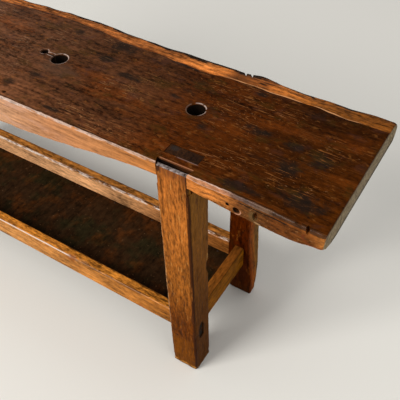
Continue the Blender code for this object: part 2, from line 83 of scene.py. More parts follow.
def rough(place, size, amount, shift=0.0):
    """Uneven surface: smooth noise with bumps about size long, as much as amount deep."""
    spot = Vector([p / s for p, s in zip(place, size)]) + Vector((shift, shift, shift))
    return amount * noise.noise(spot)


def thickness(x):
    """The slab gets thinner towards its right end."""
    return THICK - END_THIN * (1.0 - ease(HALF - x, 0.0, 0.8))


def front_line(x):
    """The front edge bows out a little at the right end, and its corners are worn."""
    return (FRONT - 0.006 * (1.0 - ease(HALF - x, 0.0, 0.2))
            + rounded(abs(x) - HALF, -0.007, 0.007, 0.005))


def front_band(x):
    """Height of the sawn part of the front edge, above the live edge under it."""
    band = 0.08 - 0.045 * (1.0 - ease(HALF - x, 0.35, 0.83))
    band += swell(HALF - x, 0.12, 0.23, 0.0167) + swell(x, 0.817, 0.03, 0.0015)
    band -= swell(HALF - x, 0.0, 0.08, 0.0045)
    return min(band, thickness(x) - 0.003)


def rear_arris(x):
    """Where the flat top ends and the live edge begins; x is a number or a Flow."""
    from_end = HALF - x
    return (swell(from_end, 0.9, 0.3, 0.02) - swell(from_end, 0.46, 0.12, 0.007)
            - swell(from_end, 0.08, 0.09, 0.005) + swell(from_end, 1.55, 0.34, 0.01)
            + (FRONT + 0.327))


def rear_edge(x):
    """The live edge's outermost line, with a hump over the right rear leg."""
    from_end = HALF - x
    return (FRONT + 0.397 + swell(from_end, 0.88, 0.28, 0.009)
            + swell(from_end, 1.5, 0.36, 0.007) - swell(from_end, 0.16, 0.16, 0.004)
            + swell(x, 0.671, 0.063, 0.0105)
            - rounded(abs(x) - HALF, -0.012, 0.012, 0.011))


def slab_ring(x):
    """Section of the slab at x, run round from the front arris over the top."""
    deep, band, front = thickness(x), front_band(x), front_line(x)
    arris, edge = rear_arris(x), rear_edge(x)
    wear = (0.0048 + rough((x, 0, 0), (0.05, 1, 1), 0.002, 3.0)
            + swell(x, 0.755, 0.075, 0.005) + swell(x, 0.865, 0.08, 0.0045))
    flat = front + min(wear, 0.005)
    corners = [(mix(flat, front, math.cos(a)), TOP - wear * (1.0 - math.sin(a)), 1, "arris")
               for a in (0.0, 0.39, 0.79, 1.18)]
    corners += [
        (flat, TOP, 46, "flat"), (arris, TOP, 8, "live"),
        (mix(arris, edge, 0.5), TOP - 0.0078, 7, "live"),
        (mix(arris, edge, 0.88), TOP - 0.0186, 5, "live"),
        (edge, TOP - 0.03, 4, "bark"), (edge - 0.0054, TOP - mix(0.03, deep, 0.5), 5, "bark"),
        (edge - 0.018, TOP - deep, 24, "under"), (front + 0.045, TOP - deep, 5, "wane"),
        (front + 0.019, TOP - mix(band, deep, 0.5), 5, "wane"), (front, TOP - band, 10, "sawn")]
    ring = []
    for i, (y, z, steps, zone) in enumerate(corners):
        y1, z1 = corners[(i + 1) % len(corners)][:2]
        ring += [(mix(y, y1, s / steps), mix(z, z1, s / steps), zone) for s in range(steps)]
    for _ in range(3):      # the live edges are round, the sawn ones stay crisp
        last = ring[-1:] + ring[:-1]
        after = ring[1:] + ring[:1]
        ring = [(0.5 * y + 0.25 * (a[0] + b[0]), 0.5 * z + 0.25 * (a[1] + b[1]), zone)
                if zone in ("live", "bark", "wane") and a[2] != "flat" else (y, z, zone)
                for (y, z, zone), a, b in zip(ring, last, after)]
    points = []
    for y, z, zone in ring:
        place = (x, y, z)
        if zone == "flat":              # worn a little hollow
            z -= 0.0005 + rough(place, (0.22, 0.05, 1), 0.0006) + rough(
                place, (0.05, 0.02, 1), 0.0003)
        elif zone == "live":
            z += rough(place, (0.07, 0.018, 1), 0.003) - 0.0012
            z += rough(place, (0.035, 0.005, 1), 0.0016, 5.0)
        elif zone == "bark":
            y += rough(place, (0.045, 1, 0.02), 0.0034) - 0.0014
            y += rough(place, (0.012, 1, 0.01), 0.0016, 9.0)
        elif zone == "under":
            z += rough(place, (0.12, 0.03, 1), 0.002)
        elif zone == "wane":
            y += 0.001 + rough(place, (0.05, 1, 0.02), 0.003)
            z += rough(place, (0.02, 0.01, 1), 0.0012, 7.0)
        elif zone == "sawn":
            y += 0.0004 + rough(place, (0.1, 1, 0.03), 0.0007) + rough(
                place, (0.03, 1, 0.006), 0.0005, 2.0)
            low = ease(TOP - z, 0.012, band)        # the lower corner of the end is knocked off
            y += low * rounded(abs(x) - HALF, -0.011, 0.011, 0.007)
            z += low * (rough(place, (0.03, 1, 1), 0.0022, 5.0) + rough(
                place, (0.009, 1, 1), 0.0012, 6.0))
        else:
            y += 0.0005 + rough(place, (0.012, 1, 1), 0.001, 11.0)
        lean = 0.0028 * ease(abs(x), HALF - 0.03, HALF) * ease(z, TOP - 0.05, TOP)
        points.append((x - math.copysign(lean, x), min(max(y, front), edge), min(z, TOP)))
    return points


def piece(name, bm):
    """Makes an object of the mesh work, with its faces turned outward."""
    bmesh.ops.recalc_face_normals(bm, faces=bm.faces)
    mesh = bpy.data.meshes.new(name)
    bm.to_mesh(mesh)
    bm.free()
    made = bpy.data.objects.new(name, mesh)
    bpy.context.scene.collection.objects.link(made)
    return made


def add_rings(bm, rings):
    """A closed solid skinned over rings of points."""
    made = [[bm.verts.new(p) for p in ring] for ring in rings]
    for a, b in zip(made, made[1:]):
        for i in range(len(a)):
            j = (i + 1) % len(a)
            bm.faces.new((a[i], a[j], b[j], b[i]))
    bm.faces.new(list(reversed(made[0])))
    bm.faces.new(made[-1])


def skin(name, rings):
    """A piece of its own, skinned over rings."""
    bm = bmesh.new()
    add_rings(bm, rings)
    return piece(name, bm)


def add_block(bm, x, y, z):
    """A block between two values along each axis."""
    add_rings(bm, [[(x[0], y[0], h), (x[1], y[0], h), (x[1], y[1], h), (x[0], y[1], h)]
                   for h in z])


def add_bore(bm, middle, profile, sides, axis="z"):
    """A bored hole; the profile gives its places along the axis and the radius at each."""
    rings = []
    for place, radius in profile:
        ring = []
        for i in range(sides):
            a, b = (radius * f(2 * math.pi * i / sides) for f in (math.cos, math.sin))
            ring.append((middle[0] + a, middle[1] + b, place) if axis == "z"
                        else (middle[0] + a, place, middle[1] + b))
        rings.append(ring)
    add_rings(bm, rings)


def add_scoop(bm, centre, radii, turn=0.0):
    """An egg-shaped cutter for a worn hollow."""
    rings = []
    for i in range(1, 8):
        a = math.pi * i / 8
        ring = []
        for j in range(16):
            b = 2 * math.pi * j / 16
            u, v = radii[0] * math.sin(a) * math.cos(b), radii[1] * math.sin(a) * math.sin(b)
            ring.append((centre[0] + u * math.cos(turn) - v * math.sin(turn),
                         centre[1] + u * math.sin(turn) + v * math.cos(turn),
                         centre[2] + radii[2] * math.cos(a)))
        rings.append(ring)
    add_rings(bm, rings)


def shaped(target, tool, operation="DIFFERENCE"):
    """Cuts tool out of target, or joins it on, and throws the tool away."""
    step = target.modifiers.new("step", "BOOLEAN")
    step.operation, step.solver, step.object = operation, "EXACT", tool
    bpy.context.view_layer.update()
    graph = bpy.context.evaluated_depsgraph_get()
    done = bpy.data.meshes.new_from_object(target.evaluated_get(graph))
    target.modifiers.clear()
    old, target.data = target.data, done
    bpy.data.meshes.remove(old)
    bpy.data.objects.remove(tool, do_unlink=True)


def smooth(target, angle=32):
    """Shades a piece smooth, but for arrises sharper than the angle in degrees."""
    target.data.shade_smooth()
    target.data.set_sharp_from_angle(angle=math.radians(angle))


# Rings along the slab, closer together where its two ends are worn round.
END_STEPS = [HALF - s for s in (0.013, 0.0095, 0.0065, 0.0042, 0.0025, 0.0015, 0.0008, 0.0)]
rings = []
for x in ([-e for e in reversed(END_STEPS)] + [mix(-0.987, 0.987, i / 290) for i in range(291)]
          + END_STEPS):
    ring = slab_ring(x)
    worn = rounded(abs(x) - HALF, -0.002, 0.002, 0.002)
    y_mid = 0.5 * (min(p[1] for p in ring) + max(p[1] for p in ring))
    z_mid = 0.5 * (min(p[2] for p in ring) + max(p[2] for p in ring))
    rings.append([(u, v + (y_mid - v) * worn / 0.19, h + (z_mid - h) * worn / 0.03)
                  for u, v, h in ring])
slab = skin("slab_top", rings)

# What was cut into it: notches and mortises for the front legs, then the bored holes, their
# rims rubbed round and one joined to its small hole by a worn groove.
TONGUE, NOTCH, FLARE, SLACK = 0.0135, 0.0175, 0.0045, 0.0012
TENON_Y = (FRONT + 0.038, FRONT + 0.066)
DOG_Y = FRONT + 0.188
DOG_X = [0.61, 0.214, -0.182, -0.578]
DOG_RADIUS = 0.0208
SMALL_HOLE = (0.159, DOG_Y + 0.007)
GROOVE = (0.182, DOG_Y + 0.005)
KNOT_HOLE = (0.817, TOP - 0.038)        # in the front edge, x and z
NAIL_HOLE = (0.797, TOP - 0.031)


def seat(side, inner, outer):
    """Height of a leg's shoulder, on the flat cut into the slab's underside."""
    return TOP + 0.002 - min(thickness(side * inner), thickness(side * outer))


def dovetail(side, slack, span, height):
    """Outline of a front leg's tongue, or of its notch where it has slack."""
    corners = []
    for y in span:
        half = 0.5 * LEG_WIDTH - FLARE * (1.0 - y / TONGUE) + slack
        middle = side * (LEG_OUTER - 0.5 * LEG_WIDTH)
        corners += [(middle - half, FRONT + y, height), (middle + half, FRONT + y, height)]
    a, b, d, c = corners
    return [a, b, c, d]


cutter = bmesh.new()
for side in (1, -1):
    add_rings(cutter, [dovetail(side, SLACK, (-0.02, NOTCH), h) for h in (0.68, 0.83)])
    add_block(cutter, sorted((side * (LEG_INNER - 0.0006), side * (LEG_OUTER + 0.0006))),
              (TENON_Y[0] - 0.0006, TENON_Y[1] + 0.0006), (0.68, 0.83))
for x in DOG_X:
    add_bore(cutter, (x, DOG_Y), [
        (0.69, DOG_RADIUS), (TOP - 0.004, DOG_RADIUS), (TOP - 0.0016, 0.0214),
        (TOP - 0.0002, 0.0231), (TOP + 0.01, 0.0231)], 40)
add_bore(cutter, SMALL_HOLE, [
    (TOP - 0.045, 0.0098), (TOP - 0.002, 0.01), (TOP, 0.011), (TOP + 0.01, 0.011)], 28)
add_bore(cutter, (0.192, FRONT + 0.021), [
    (TOP - 0.03, 0.004), (TOP - 0.002, 0.005), (TOP, 0.006), (TOP + 0.01, 0.006)], 20)
shaped(slab, piece("cutter", cutter))

cutter = bmesh.new()
for side in (1, -1):
    add_block(cutter, sorted((side * (LEG_INNER - 0.0003), side * (LEG_OUTER + 0.0003))),
              (FRONT - 0.02, FRONT + 0.0803), (0.68, seat(side, LEG_INNER, LEG_OUTER)))
    add_block(cutter, sorted((side * (REAR_INNER - 0.0003), side * (REAR_OUTER + 0.0003))),
              (FRONT + 0.3153, FRONT + 0.42), (0.68, seat(side, REAR_INNER, REAR_OUTER)))
add_scoop(cutter, (*GROOVE, TOP + 0.0006), (0.022, 0.005, 0.0042), -0.12)
# Knot hole, nail hole and rotten hollow in the front edge, and the chips off its arris.
add_bore(cutter, KNOT_HOLE, [
    (FRONT - 0.02, 0.0072), (FRONT + 0.001, 0.0068), (FRONT + 0.004, 0.006),
    (FRONT + 0.018, 0.0045)], 18, "y")
add_bore(cutter, NAIL_HOLE, [
    (FRONT - 0.02, 0.0036), (FRONT + 0.012, 0.003)], 10, "y")
add_scoop(cutter, (0.8575, FRONT - 0.003, TOP - 0.033), (0.005, 0.011, 0.011))
add_scoop(cutter, (0.9664, FRONT - 0.0065, TOP - 0.001), (0.0042, 0.013, 0.015), 0.2)
add_scoop(cutter, (0.945, FRONT - 0.003, TOP + 0.001), (0.008, 0.01, 0.004))
add_scoop(cutter, (0.74, FRONT - 0.001, TOP + 0.001), (0.01, 0.008, 0.003))
shaped(slab, piece("cutter", cutter))

# A shake runs under the rubbed front arris near the right end, a short crack down from it,
# and the live edge has two open splits over the right rear leg.
cutter = bmesh.new()
for left, right, tip in ((0.6119, 0.6252, 0.637), (0.6284, 0.6404, 0.653)):
    edge = rear_edge(left)
    add_rings(cutter, [[(left, edge + 0.004, z), (tip, edge - 0.03, z),
                        (right, edge + 0.004, z)] for z in (TOP - 0.07, TOP + 0.01)])
add_scoop(cutter, (0.86, FRONT + 0.003, TOP - 0.028), (0.0026, 0.012, 0.0085))
shake = []
for i in range(17):
    t = i / 16
    x = mix(0.834, 0.924, t)
    gape = 0.0014 * math.sin(math.pi * t) ** 0.7 + 0.0001
    z = TOP - 0.0158 + 0.002 * t + 0.0008 * math.sin(11 * t)
    shake.append([(x, FRONT - 0.012, z - gape), (x, FRONT + 0.01, z + 0.002 - 0.3 * gape),
                  (x, FRONT + 0.01, z + 0.002 + 0.3 * gape), (x, FRONT - 0.012, z + gape)])
add_rings(cutter, shake)
shaped(slab, piece("cutter", cutter))
smooth(slab)
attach(slab, "root")
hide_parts("bench_top")


# Its finish, like all the others, is worked out with the class below.
class Flow:
    """A value, vector or colour in a material. Sums written with it add Math nodes."""

    def __init__(self, tree, socket):
        self.tree, self.socket = tree, socket

    def node(self, kind, settings=None, sockets=None, out=0):
        """Adds any node: its settings first, then what its sockets take."""
        made = self.tree.nodes.new(kind)
        for name, value in (settings or {}).items():
            if name == "stops":
                stops = made.color_ramp.elements
                stops.remove(stops[1])
                for n, (place, colour) in enumerate(value):
                    stop = stops[0] if n == 0 else stops.new(place)
                    stop.position, stop.color = place, (*colour, 1.0)
            else:
                setattr(made, name, value)
        for name, value in (sockets or {}).items():
            if isinstance(value, Flow):
                self.tree.links.new(value.socket, made.inputs[name])
            elif isinstance(value, tuple) and made.inputs[name].type == "RGBA":
                made.inputs[name].default_value = (*value[:3], 1.0)
            else:
                made.inputs[name].default_value = value
        return Flow(self.tree, made.outputs[out])

    def math(self, operation, other=None, first=None):
        values = [v for v in (first, self, other) if v is not None]
        return self.node("ShaderNodeMath", {"operation": operation}, dict(enumerate(values)))

    def __add__(self, other):
        return self.math("ADD", other)

    def __sub__(self, other):
        return self.math("SUBTRACT", other)

    def __mul__(self, other):
        return self.math("MULTIPLY", other)

    def __truediv__(self, other):
        return self.math("DIVIDE", other)

    def __rsub__(self, other):
        return self.math("SUBTRACT", first=other)

    def __abs__(self):
        return self.math("ABSOLUTE")

    __radd__, __rmul__ = __add__, __mul__

    def between(self, low, high, new_low=0.0, new_high=1.0):
        """Goes smoothly from new_low to new_high while the value runs from low to high."""
        return self.node("ShaderNodeMapRange", {"interpolation_type": "SMOOTHSTEP"}, {
            "Value": self, "From Min": low, "From Max": high,
            "To Min": new_low, "To Max": new_high})

    def scaled(self, by, shift=(0.0, 0.0, 0.0)):
        """The place stretched along each axis, then shifted."""
        return self.node("ShaderNodeVectorMath", {"operation": "MULTIPLY_ADD"},
                         {0: self, 1: by, 2: shift})

    def turned(self, angle):
        """The place turned about the upright axis."""
        return self.node("ShaderNodeVectorRotate", {"rotation_type": "Z_AXIS"},
                         {"Vector": self, "Angle": angle})

    def xyz(self):
        """The three values of a vector."""
        parts = self.node("ShaderNodeSeparateXYZ", None, {0: self}).socket.node
        return [Flow(self.tree, out) for out in parts.outputs]

    def noise(self, by, detail=3.0, roughness=0.55, shift=0.0):
        """Noise with by waves a metre along each axis, from 0 to 1 and mostly near a half."""
        return self.node("ShaderNodeTexNoise", None, {
            "Vector": self.scaled(by, (shift, shift * 0.7, shift * 1.3)), "Scale": 1.0,
            "Detail": detail, "Roughness": roughness})

    def blend(self, colour, other):
        """Colour where this mask is 0, other where it is 1."""
        return self.node("ShaderNodeMix", {"data_type": "RGBA"}, {0: self, 6: colour, 7: other},
                         out=2)

    def ramp(self, stops):
        """A colour that follows the value from stop to stop."""
        return self.node("ShaderNodeValToRGB", {"stops": stops}, {0: self})

    def shaded(self, by):
        """The colour made lighter or darker by a value, which is 1 where it stays."""
        return self.node("ShaderNodeVectorMath", {"operation": "SCALE"}, {0: self, "Scale": by})


def new_finish(name, specular=0.012, coat_roughness=0.22):
    """A material; gives it, the place on the piece, the way its face looks and its shader."""
    made = bpy.data.materials.new(name)
    made.use_nodes = True
    tree = made.node_tree
    shader = tree.nodes["Principled BSDF"]
    shader.inputs["Specular IOR Level"].default_value = specular
    shader.inputs["Coat Roughness"].default_value = coat_roughness
    place = Flow(tree, tree.nodes.new("ShaderNodeTexCoord").outputs["Object"])
    faces = Flow(tree, tree.nodes.new("ShaderNodeNewGeometry").outputs["Normal"])
    return made, place, faces, shader


def finished(shader, colour, roughness, height, depth, gloss=None):
    """Wires colour, roughness, a bump of the given depth in metres and a rubbed gloss."""
    tree = colour.tree
    bump = colour.node("ShaderNodeBump", None, {"Height": height, "Distance": depth,
                                                "Strength": 1.0})
    tree.links.new(colour.socket, shader.inputs["Base Color"])
    tree.links.new(bump.socket, shader.inputs["Normal"])
    if isinstance(roughness, Flow):
        tree.links.new(roughness.socket, shader.inputs["Roughness"])
    else:
        shader.inputs["Roughness"].default_value = roughness
    if gloss is not None:
        tree.links.new(gloss.socket, shader.inputs["Coat Weight"])


# The slab's wood above: old brown heartwood, oiled and rubbed, going darker and redder
# towards the right end, with black stains, dents and pale scratches from work.
wood, place, faces, shader = new_finish("slab_wood_finish")
x, y, z = place.xyz()
nz = faces.xyz()[2]
along = x * 0.5 + 0.5
streaks = place.noise((11.0, 105.0, 105.0), 4.0, 0.7, shift=2.0)
mottle = place.noise((80.0, 130.0, 130.0), 4.0, 0.7, shift=6.0)
cloud = place.noise((3.6, 7.5, 7.5), 3.0, 0.6, shift=7.0)
fibres = place.noise((16.0, 420.0, 420.0), 3.0, 0.65, shift=1.0)
wander = place.noise((1.6, 3.0, 3.0), 2.0, shift=4.0) - 0.5
from_heart_y = y - 0.02 + wander * 0.1
from_heart_z = z - (TOP - 0.16)
inward = y - FRONT + x.between(HALF - 0.2, HALF, 0.0, 0.006)
heart = (from_heart_y * from_heart_y + from_heart_z * from_heart_z).math("SQRT")
year_rings = ((heart + (place.noise((4.0, 26.0, 26.0), 3.0) - 0.5) * 0.01)
              * (2 * math.pi / 0.0075)).math("SINE")
shade = (((streaks - 0.5) * 2.6 + (mottle - 0.5) * 3.4 + (cloud - 0.5) * 1.8
          + year_rings * 0.1) * along.between(0.8, 0.92, 1.0, 0.74) + 1.0).math("MAXIMUM", 0.22)
above = along.ramp([(0.0, (0.122, 0.048, 0.0215)), (0.54, (0.118, 0.0455, 0.02)),
                    (0.62, (0.078, 0.028, 0.011)), (0.74, (0.062, 0.0205, 0.007)),
                    (0.8, (0.062, 0.014, 0.0015)), (0.88, (0.048, 0.0108, 0.001)),
                    (0.93, (0.037, 0.009, 0.0008)), (1.0, (0.05, 0.012, 0.0008))])
above = above.shaded((y.between(-0.09, -0.16) * 0.55 + y.between(0.02, 0.1) * -0.22)
                     * along.between(0.84, 0.74)
                     + y.between(-0.12, 0.02, 0.26, -0.22) * along.between(0.88, 0.95) + 1.0)
russet = place.noise((5.0, 16.0, 16.0), 3.0, 0.6, shift=12.0).between(0.5, 0.66)
above = (russet * 0.6).blend(above, (0.105, 0.0235, 0.0022)).shaded(shade)
ember = place.noise((38.0, 75.0, 75.0), 3.0, 0.6, shift=87.0).between(0.6, 0.7)
above = (ember * 0.55).blend(above, (0.2, 0.07, 0.014))


def blot(x, y, mark):
    """How far a place is from a mark's middle, 1 at the mark's edge."""
    u, v = (x - mark[0]) / mark[2], (y - mark[1]) / mark[3]
    return (u * u + v * v).math("SQRT")


ragged = (place.noise((28.0, 40.0, 40.0), 4.0, 0.65, shift=14.0) - 0.5) * 2.6
stain = place.noise((6.0, 11.0, 11.0), 4.0, 0.62, shift=19.0).between(0.58, 0.7) * 0.6
for mark in ((0.319, 0.108, 0.04, 0.026), (0.312, 0.048, 0.04, 0.016),
             (0.181, 0.111, 0.025, 0.016), (0.17, -0.146, 0.022, 0.012),
             (0.214, -0.09, 0.026, 0.012), (0.33, -0.173, 0.026, 0.007),
             (0.543, 0.004, 0.02, 0.008), (0.522, 0.119, 0.022, 0.008),
             (0.767, -0.01, 0.034, 0.016), (0.849, -0.017, 0.026, 0.018),
             (0.862, -0.08, 0.042, 0.02), (0.916, -0.03, 0.034, 0.022),
             (0.802, -0.176, 0.06, 0.014), (0.709, 0.109, 0.018, 0.01),
             (0.93, -0.15, 0.05, 0.024), (0.652, -0.056, 0.016, 0.012),
             (0.411, 0.012, 0.04, 0.014), (0.496, 0.124, 0.03, 0.01)):
    stain = stain.math("MAXIMUM", (blot(x, y, mark) + ragged).between(1.25, 0.35))
above = (stain * 0.82).blend(above, (0.0115, 0.0085, 0.0062))
above = (blot(x, y, (0.242, -0.05, 0.06, 0.022)) + ragged).between(1.3, 0.4, 0.0, 0.4).blend(
    above, (0.066, 0.042, 0.028))
lilac = place.noise((17.0, 26.0, 26.0), 3.0, 0.6, shift=91.0).between(0.57, 0.68)
above = (lilac * along.between(0.8, 0.66, 0.2, 0.4)).blend(above, (0.07, 0.028, 0.02))
olive = place.noise((14.0, 22.0, 22.0), 3.0, 0.6, shift=97.0).between(0.56, 0.67)
above = (olive * 0.4).blend(above, (0.046, 0.024, 0.0035))

# Scratches run mostly with the grain, some across it, thickest where most work was done.
busy = place.noise((6.0, 9.0, 9.0), 2.0, 0.5, shift=30.0).between(0.5, 0.66)
for mark in ((0.421, -0.032, 0.06, 0.03), (0.499, -0.16, 0.05, 0.022),
             (0.672, -0.027, 0.034, 0.018), (0.38, -0.155, 0.07, 0.02),
             (0.7, 0.02, 0.09, 0.02), (0.915, 0.01, 0.05, 0.04),
             (0.76, 0.07, 0.08, 0.03), (0.88, -0.11, 0.07, 0.03)):
    busy = busy.math("MAXIMUM", (blot(x, y, mark) + ragged).between(1.3, 0.5))
scratch = None
for turn, by, low, shift in ((0.02, (17.0, 300.0, 1.0), 0.605, 44.0),
                             (-0.1, (40.0, 310.0, 1.0), 0.635, 51.0),
                             (0.4, (56.0, 290.0, 1.0), 0.67, 58.0),
                             (-0.75, (60.0, 290.0, 1.0), 0.7, 77.0),
                             (1.25, (60.0, 280.0, 1.0), 0.7, 63.0)):
    stroke = place.turned(turn).noise(by, 2.0, 0.55, shift).between(low, low + 0.06)
    scratch = stroke if scratch is None else scratch.math("MAXIMUM", stroke)
scratch = scratch * (busy * 0.8 + 0.18)
dots = (place.noise((95.0, 190.0, 190.0), 2.0, 0.6, shift=71.0).between(0.67, 0.76)
        * (busy * 0.7 + 0.25))
pale = along.ramp([(0.5, (0.38, 0.22, 0.13)), (0.62, (0.38, 0.19, 0.08)),
                   (0.8, (0.32, 0.125, 0.036)), (1.0, (0.28, 0.095, 0.022))])
above = (scratch * 0.72).blend(above, pale)
above = (dots * 0.55).blend(above, (0.4, 0.2, 0.09))
# The arrises of the notch and the mortise are rubbed pale; the lilac line along the mortise's
# front edge is a painted highlight.
in_leg = (x - LEG_INNER).between(0.0, 0.004) * (LEG_OUTER - x).between(-0.004, 0.0)
notch_rim = abs(y - (FRONT + NOTCH + 0.0014)).between(0.0017, 0.0007) * in_leg
above = (notch_rim * 0.75).blend(above, (0.42, 0.18, 0.09))
mortise_rim_wear_and_glint = (abs(y - (TENON_Y[1] + 0.0015) - (x - 0.655) * 0.1).between(0.0016, 0.0006)
               * x.between(0.664, 0.672) * x.between(0.728, 0.712))
above = (mortise_rim_wear_and_glint * streaks.between(0.4, 0.5) * 0.6).blend(above, (0.28, 0.11, 0.04))
# A lilac line along the mortise's front edge: a painted highlight.
mortise_rim_wear_and_glint = (abs(y - (TENON_Y[0] - 0.0018)).between(0.002, 0.0008)
               * x.between(0.655, 0.664) * x.between(0.712, 0.704))
above = (mortise_rim_wear_and_glint * 0.65).blend(above, (0.21, 0.13, 0.11))

# The sawn front edge, pale honey at the left and red brown at the right end.
edge_wood = along.ramp([
    (0.0, (0.48, 0.26, 0.14)), (0.585, (0.48, 0.255, 0.14)), (0.675, (0.44, 0.19, 0.08)),
    (0.75, (0.39, 0.16, 0.056)), (0.81, (0.4, 0.145, 0.036)), (0.86, (0.43, 0.14, 0.028)),
    (0.898, (0.37, 0.125, 0.026)), (0.909, (0.14, 0.046, 0.012)), (0.928, (0.09, 0.034, 0.0085)),
    (0.95, (0.1, 0.029, 0.006)), (0.978, (0.125, 0.038, 0.007)), (0.99, (0.18, 0.055, 0.01)),
    (1.0, (0.33, 0.12, 0.026))])
grain = place.noise((14.0, 170.0, 170.0), 3.0, 0.6, shift=55.0)
edge_wood = edge_wood.shaded(((streaks - 0.5) * 1.6 + (grain - 0.5) * 1.4
                              + (mottle - 0.5) * along.between(0.78, 0.9, 0.6, 3.0)
                              + 1.0).math("MAXIMUM", 0.25))
blush = place.noise((9.0, 40.0, 40.0), 3.0, 0.6, shift=57.0).between(0.48, 0.62)
edge_wood = (blush * along.between(0.72, 0.6, 0.0, 0.55)).blend(edge_wood, (0.52, 0.3, 0.22))
edge_dirt = place.noise((24.0, 150.0, 150.0), 4.0, 0.65, shift=15.0).between(0.56, 0.68)
edge_wood = (edge_dirt * along.between(0.6, 0.95, 0.35, 0.75)).blend(
    edge_wood, (0.085, 0.03, 0.011))
edge_fleck = place.noise((90.0, 190.0, 190.0), 2.0, 0.6, shift=81.0).between(0.62, 0.7)
edge_wood = (edge_fleck * along.between(0.88, 0.92, 0.15, 0.4)).blend(
    edge_wood, (0.36, 0.165, 0.06))
rot = blot(x, z, (0.854, TOP - 0.035, 0.011, 0.014)) + (mottle - 0.5) * 1.2
edge_wood = rot.between(1.2, 0.6, 0.0, 0.75).blend(edge_wood, (0.11, 0.062, 0.022))
rot_lip = blot(x, z, (0.864, TOP - 0.0485, 0.008, 0.0026)).between(1.2, 0.6)
edge_wood = (rot_lip * 0.7).blend(edge_wood, (0.32, 0.19, 0.09))
# The pale lip at the lower right of the knot hole is a painted highlight.
knot_lip_glint = (abs(blot(x, z, (0.818, TOP - 0.0395, 0.009, 0.0085)) - 1.0).between(0.2, 0.06)
       * (x - z).between(0.058, 0.066))
edge_wood = (knot_lip_glint * 0.75).blend(edge_wood, (0.52, 0.26, 0.16))
seam = abs(z - (TOP - 0.014) + (cloud - 0.5) * 0.004).between(0.0022, 0.0008)
edge_wood = (seam * along.between(0.905, 0.915) * along.between(0.966, 0.96)).blend(
    edge_wood, (0.02, 0.011, 0.007))
growth = blot(x, z, (0.982, TOP - 0.026, 0.024, 0.015)) + (streaks - 0.5) * 0.8
edge_wood = (abs(growth - 0.95).between(0.2, 0.06)
             * (z - TOP + (x - 0.982) * 0.5).between(-0.022, -0.032, 0.0, 0.55)).blend(
    edge_wood, (0.12, 0.024, 0.008))
# The insides of the knot hole, the nail hole and the short crack are painted near black: painted
# shade.
hole_shade = (blot(x, z, (*KNOT_HOLE, 0.0078, 0.0076)) + (mottle - 0.5) * 0.5).between(
    1.05, 0.85)
hole_shade = hole_shade.math("MAXIMUM", blot(x, z, (*NAIL_HOLE, 0.0042, 0.0042)).between(1.1, 0.8))
hole_shade = hole_shade.math("MAXIMUM", blot(x, z, (0.86, TOP - 0.03, 0.0036, 0.0105)).between(1.1, 0.8))
edge_wood = hole_shade.blend(edge_wood, (0.014, 0.008, 0.005))
colour = inward.between(0.003, 0.0065, 1.0, 0.0).blend(above, edge_wood)

# Its arris is rubbed pale at the left, broad and bare beside the leg, then dark and shiny. The
# pale colour is partly that wear and partly a painted highlight, and the lilac grey of the dark
# stretch beside the leg is a painted reflection.
arris_wear_and_sheen = along.ramp([
    (0.0, (0.46, 0.37, 0.32)), (0.62, (0.46, 0.36, 0.31)), (0.78, (0.42, 0.27, 0.2)),
    (0.85, (0.42, 0.195, 0.1)), (0.89, (0.38, 0.16, 0.08)), (0.904, (0.115, 0.066, 0.05)),
    (0.925, (0.105, 0.062, 0.048)), (0.94, (0.13, 0.075, 0.044)), (0.948, (0.06, 0.025, 0.011)),
    (0.965, (0.048, 0.019, 0.007)), (1.0, (0.042, 0.015, 0.005))])
broad = swell(x, 0.755, 0.085, 0.0055) + swell(x, 0.865, 0.08, 0.005)
fray = (place.noise((40.0, 130.0, 130.0), 3.0, 0.6, shift=17.0) - 0.5) * 0.006
arris = ((inward - fray).between(0.0044, 0.0056, 1.0, 0.0)
         * (z + broad + fray + along.between(0.955, 0.97, 0.0, 0.0035)).between(
             TOP - 0.0052, TOP - 0.0036))
arris = arris * place.noise((30.0, 110.0, 110.0), 3.0, 0.6, shift=18.0).between(
    0.34, 0.46).math("MAXIMUM", along.between(0.84, 0.856))
colour = (arris * 0.9).blend(colour, arris_wear_and_sheen.shaded(
    ((mottle - 0.5) * 2.6 + (grain - 0.5) * 2.2 + 1.0).math("MAXIMUM", 0.3)))
# Thin pale lines along the two rims of the arris strip: painted glints.
arris_glints = abs(inward - fray - 0.0042).between(0.0014, 0.0006).math(
    "MAXIMUM", abs(z + broad + fray - (TOP - 0.0046)).between(0.0016, 0.0006)) * arris
colour = (arris_glints * along.between(0.905, 0.895, 0.0, 0.8)).blend(colour, (0.6, 0.42, 0.34))
above_arris = abs(inward - fray - 0.0068).between(0.0026, 0.0008) * nz.between(0.8, 0.95)
colour = (above_arris * streaks.between(0.42, 0.56) * 0.7).blend(colour, (0.018, 0.009, 0.004))

# Sapwood on the live edge: orange, dark along the fibres, with bark stain on the outside.
past = y - rear_arris(x * 0.999) + (place.noise((30.0, 30.0, 30.0), 3.0, shift=19.0) - 0.5) * 0.004
sap = along.ramp([
    (0.0, (0.4, 0.125, 0.03)), (0.64, (0.4, 0.125, 0.03)), (0.72, (0.34, 0.105, 0.024)),
    (0.765, (0.64, 0.2, 0.042)), (0.8, (0.62, 0.185, 0.036)), (0.812, (0.27, 0.085, 0.02)),
    (0.85, (0.26, 0.075, 0.015)), (0.866, (0.46, 0.14, 0.026)), (0.91, (0.33, 0.104, 0.018)),
    (0.95, (0.2, 0.064, 0.01)), (1.0, (0.185, 0.058, 0.009))])
sap_lines = place.noise((9.0, 120.0, 60.0), 4.0, 0.65, shift=23.0)
sap_spots = place.noise((55.0, 90.0, 90.0), 3.0, 0.65, shift=25.0)
sap = sap.shaded(((sap_lines - 0.5) * 4.2 + (sap_spots - 0.5) * 3.2 + 1.0).math("MAXIMUM", 0.2))
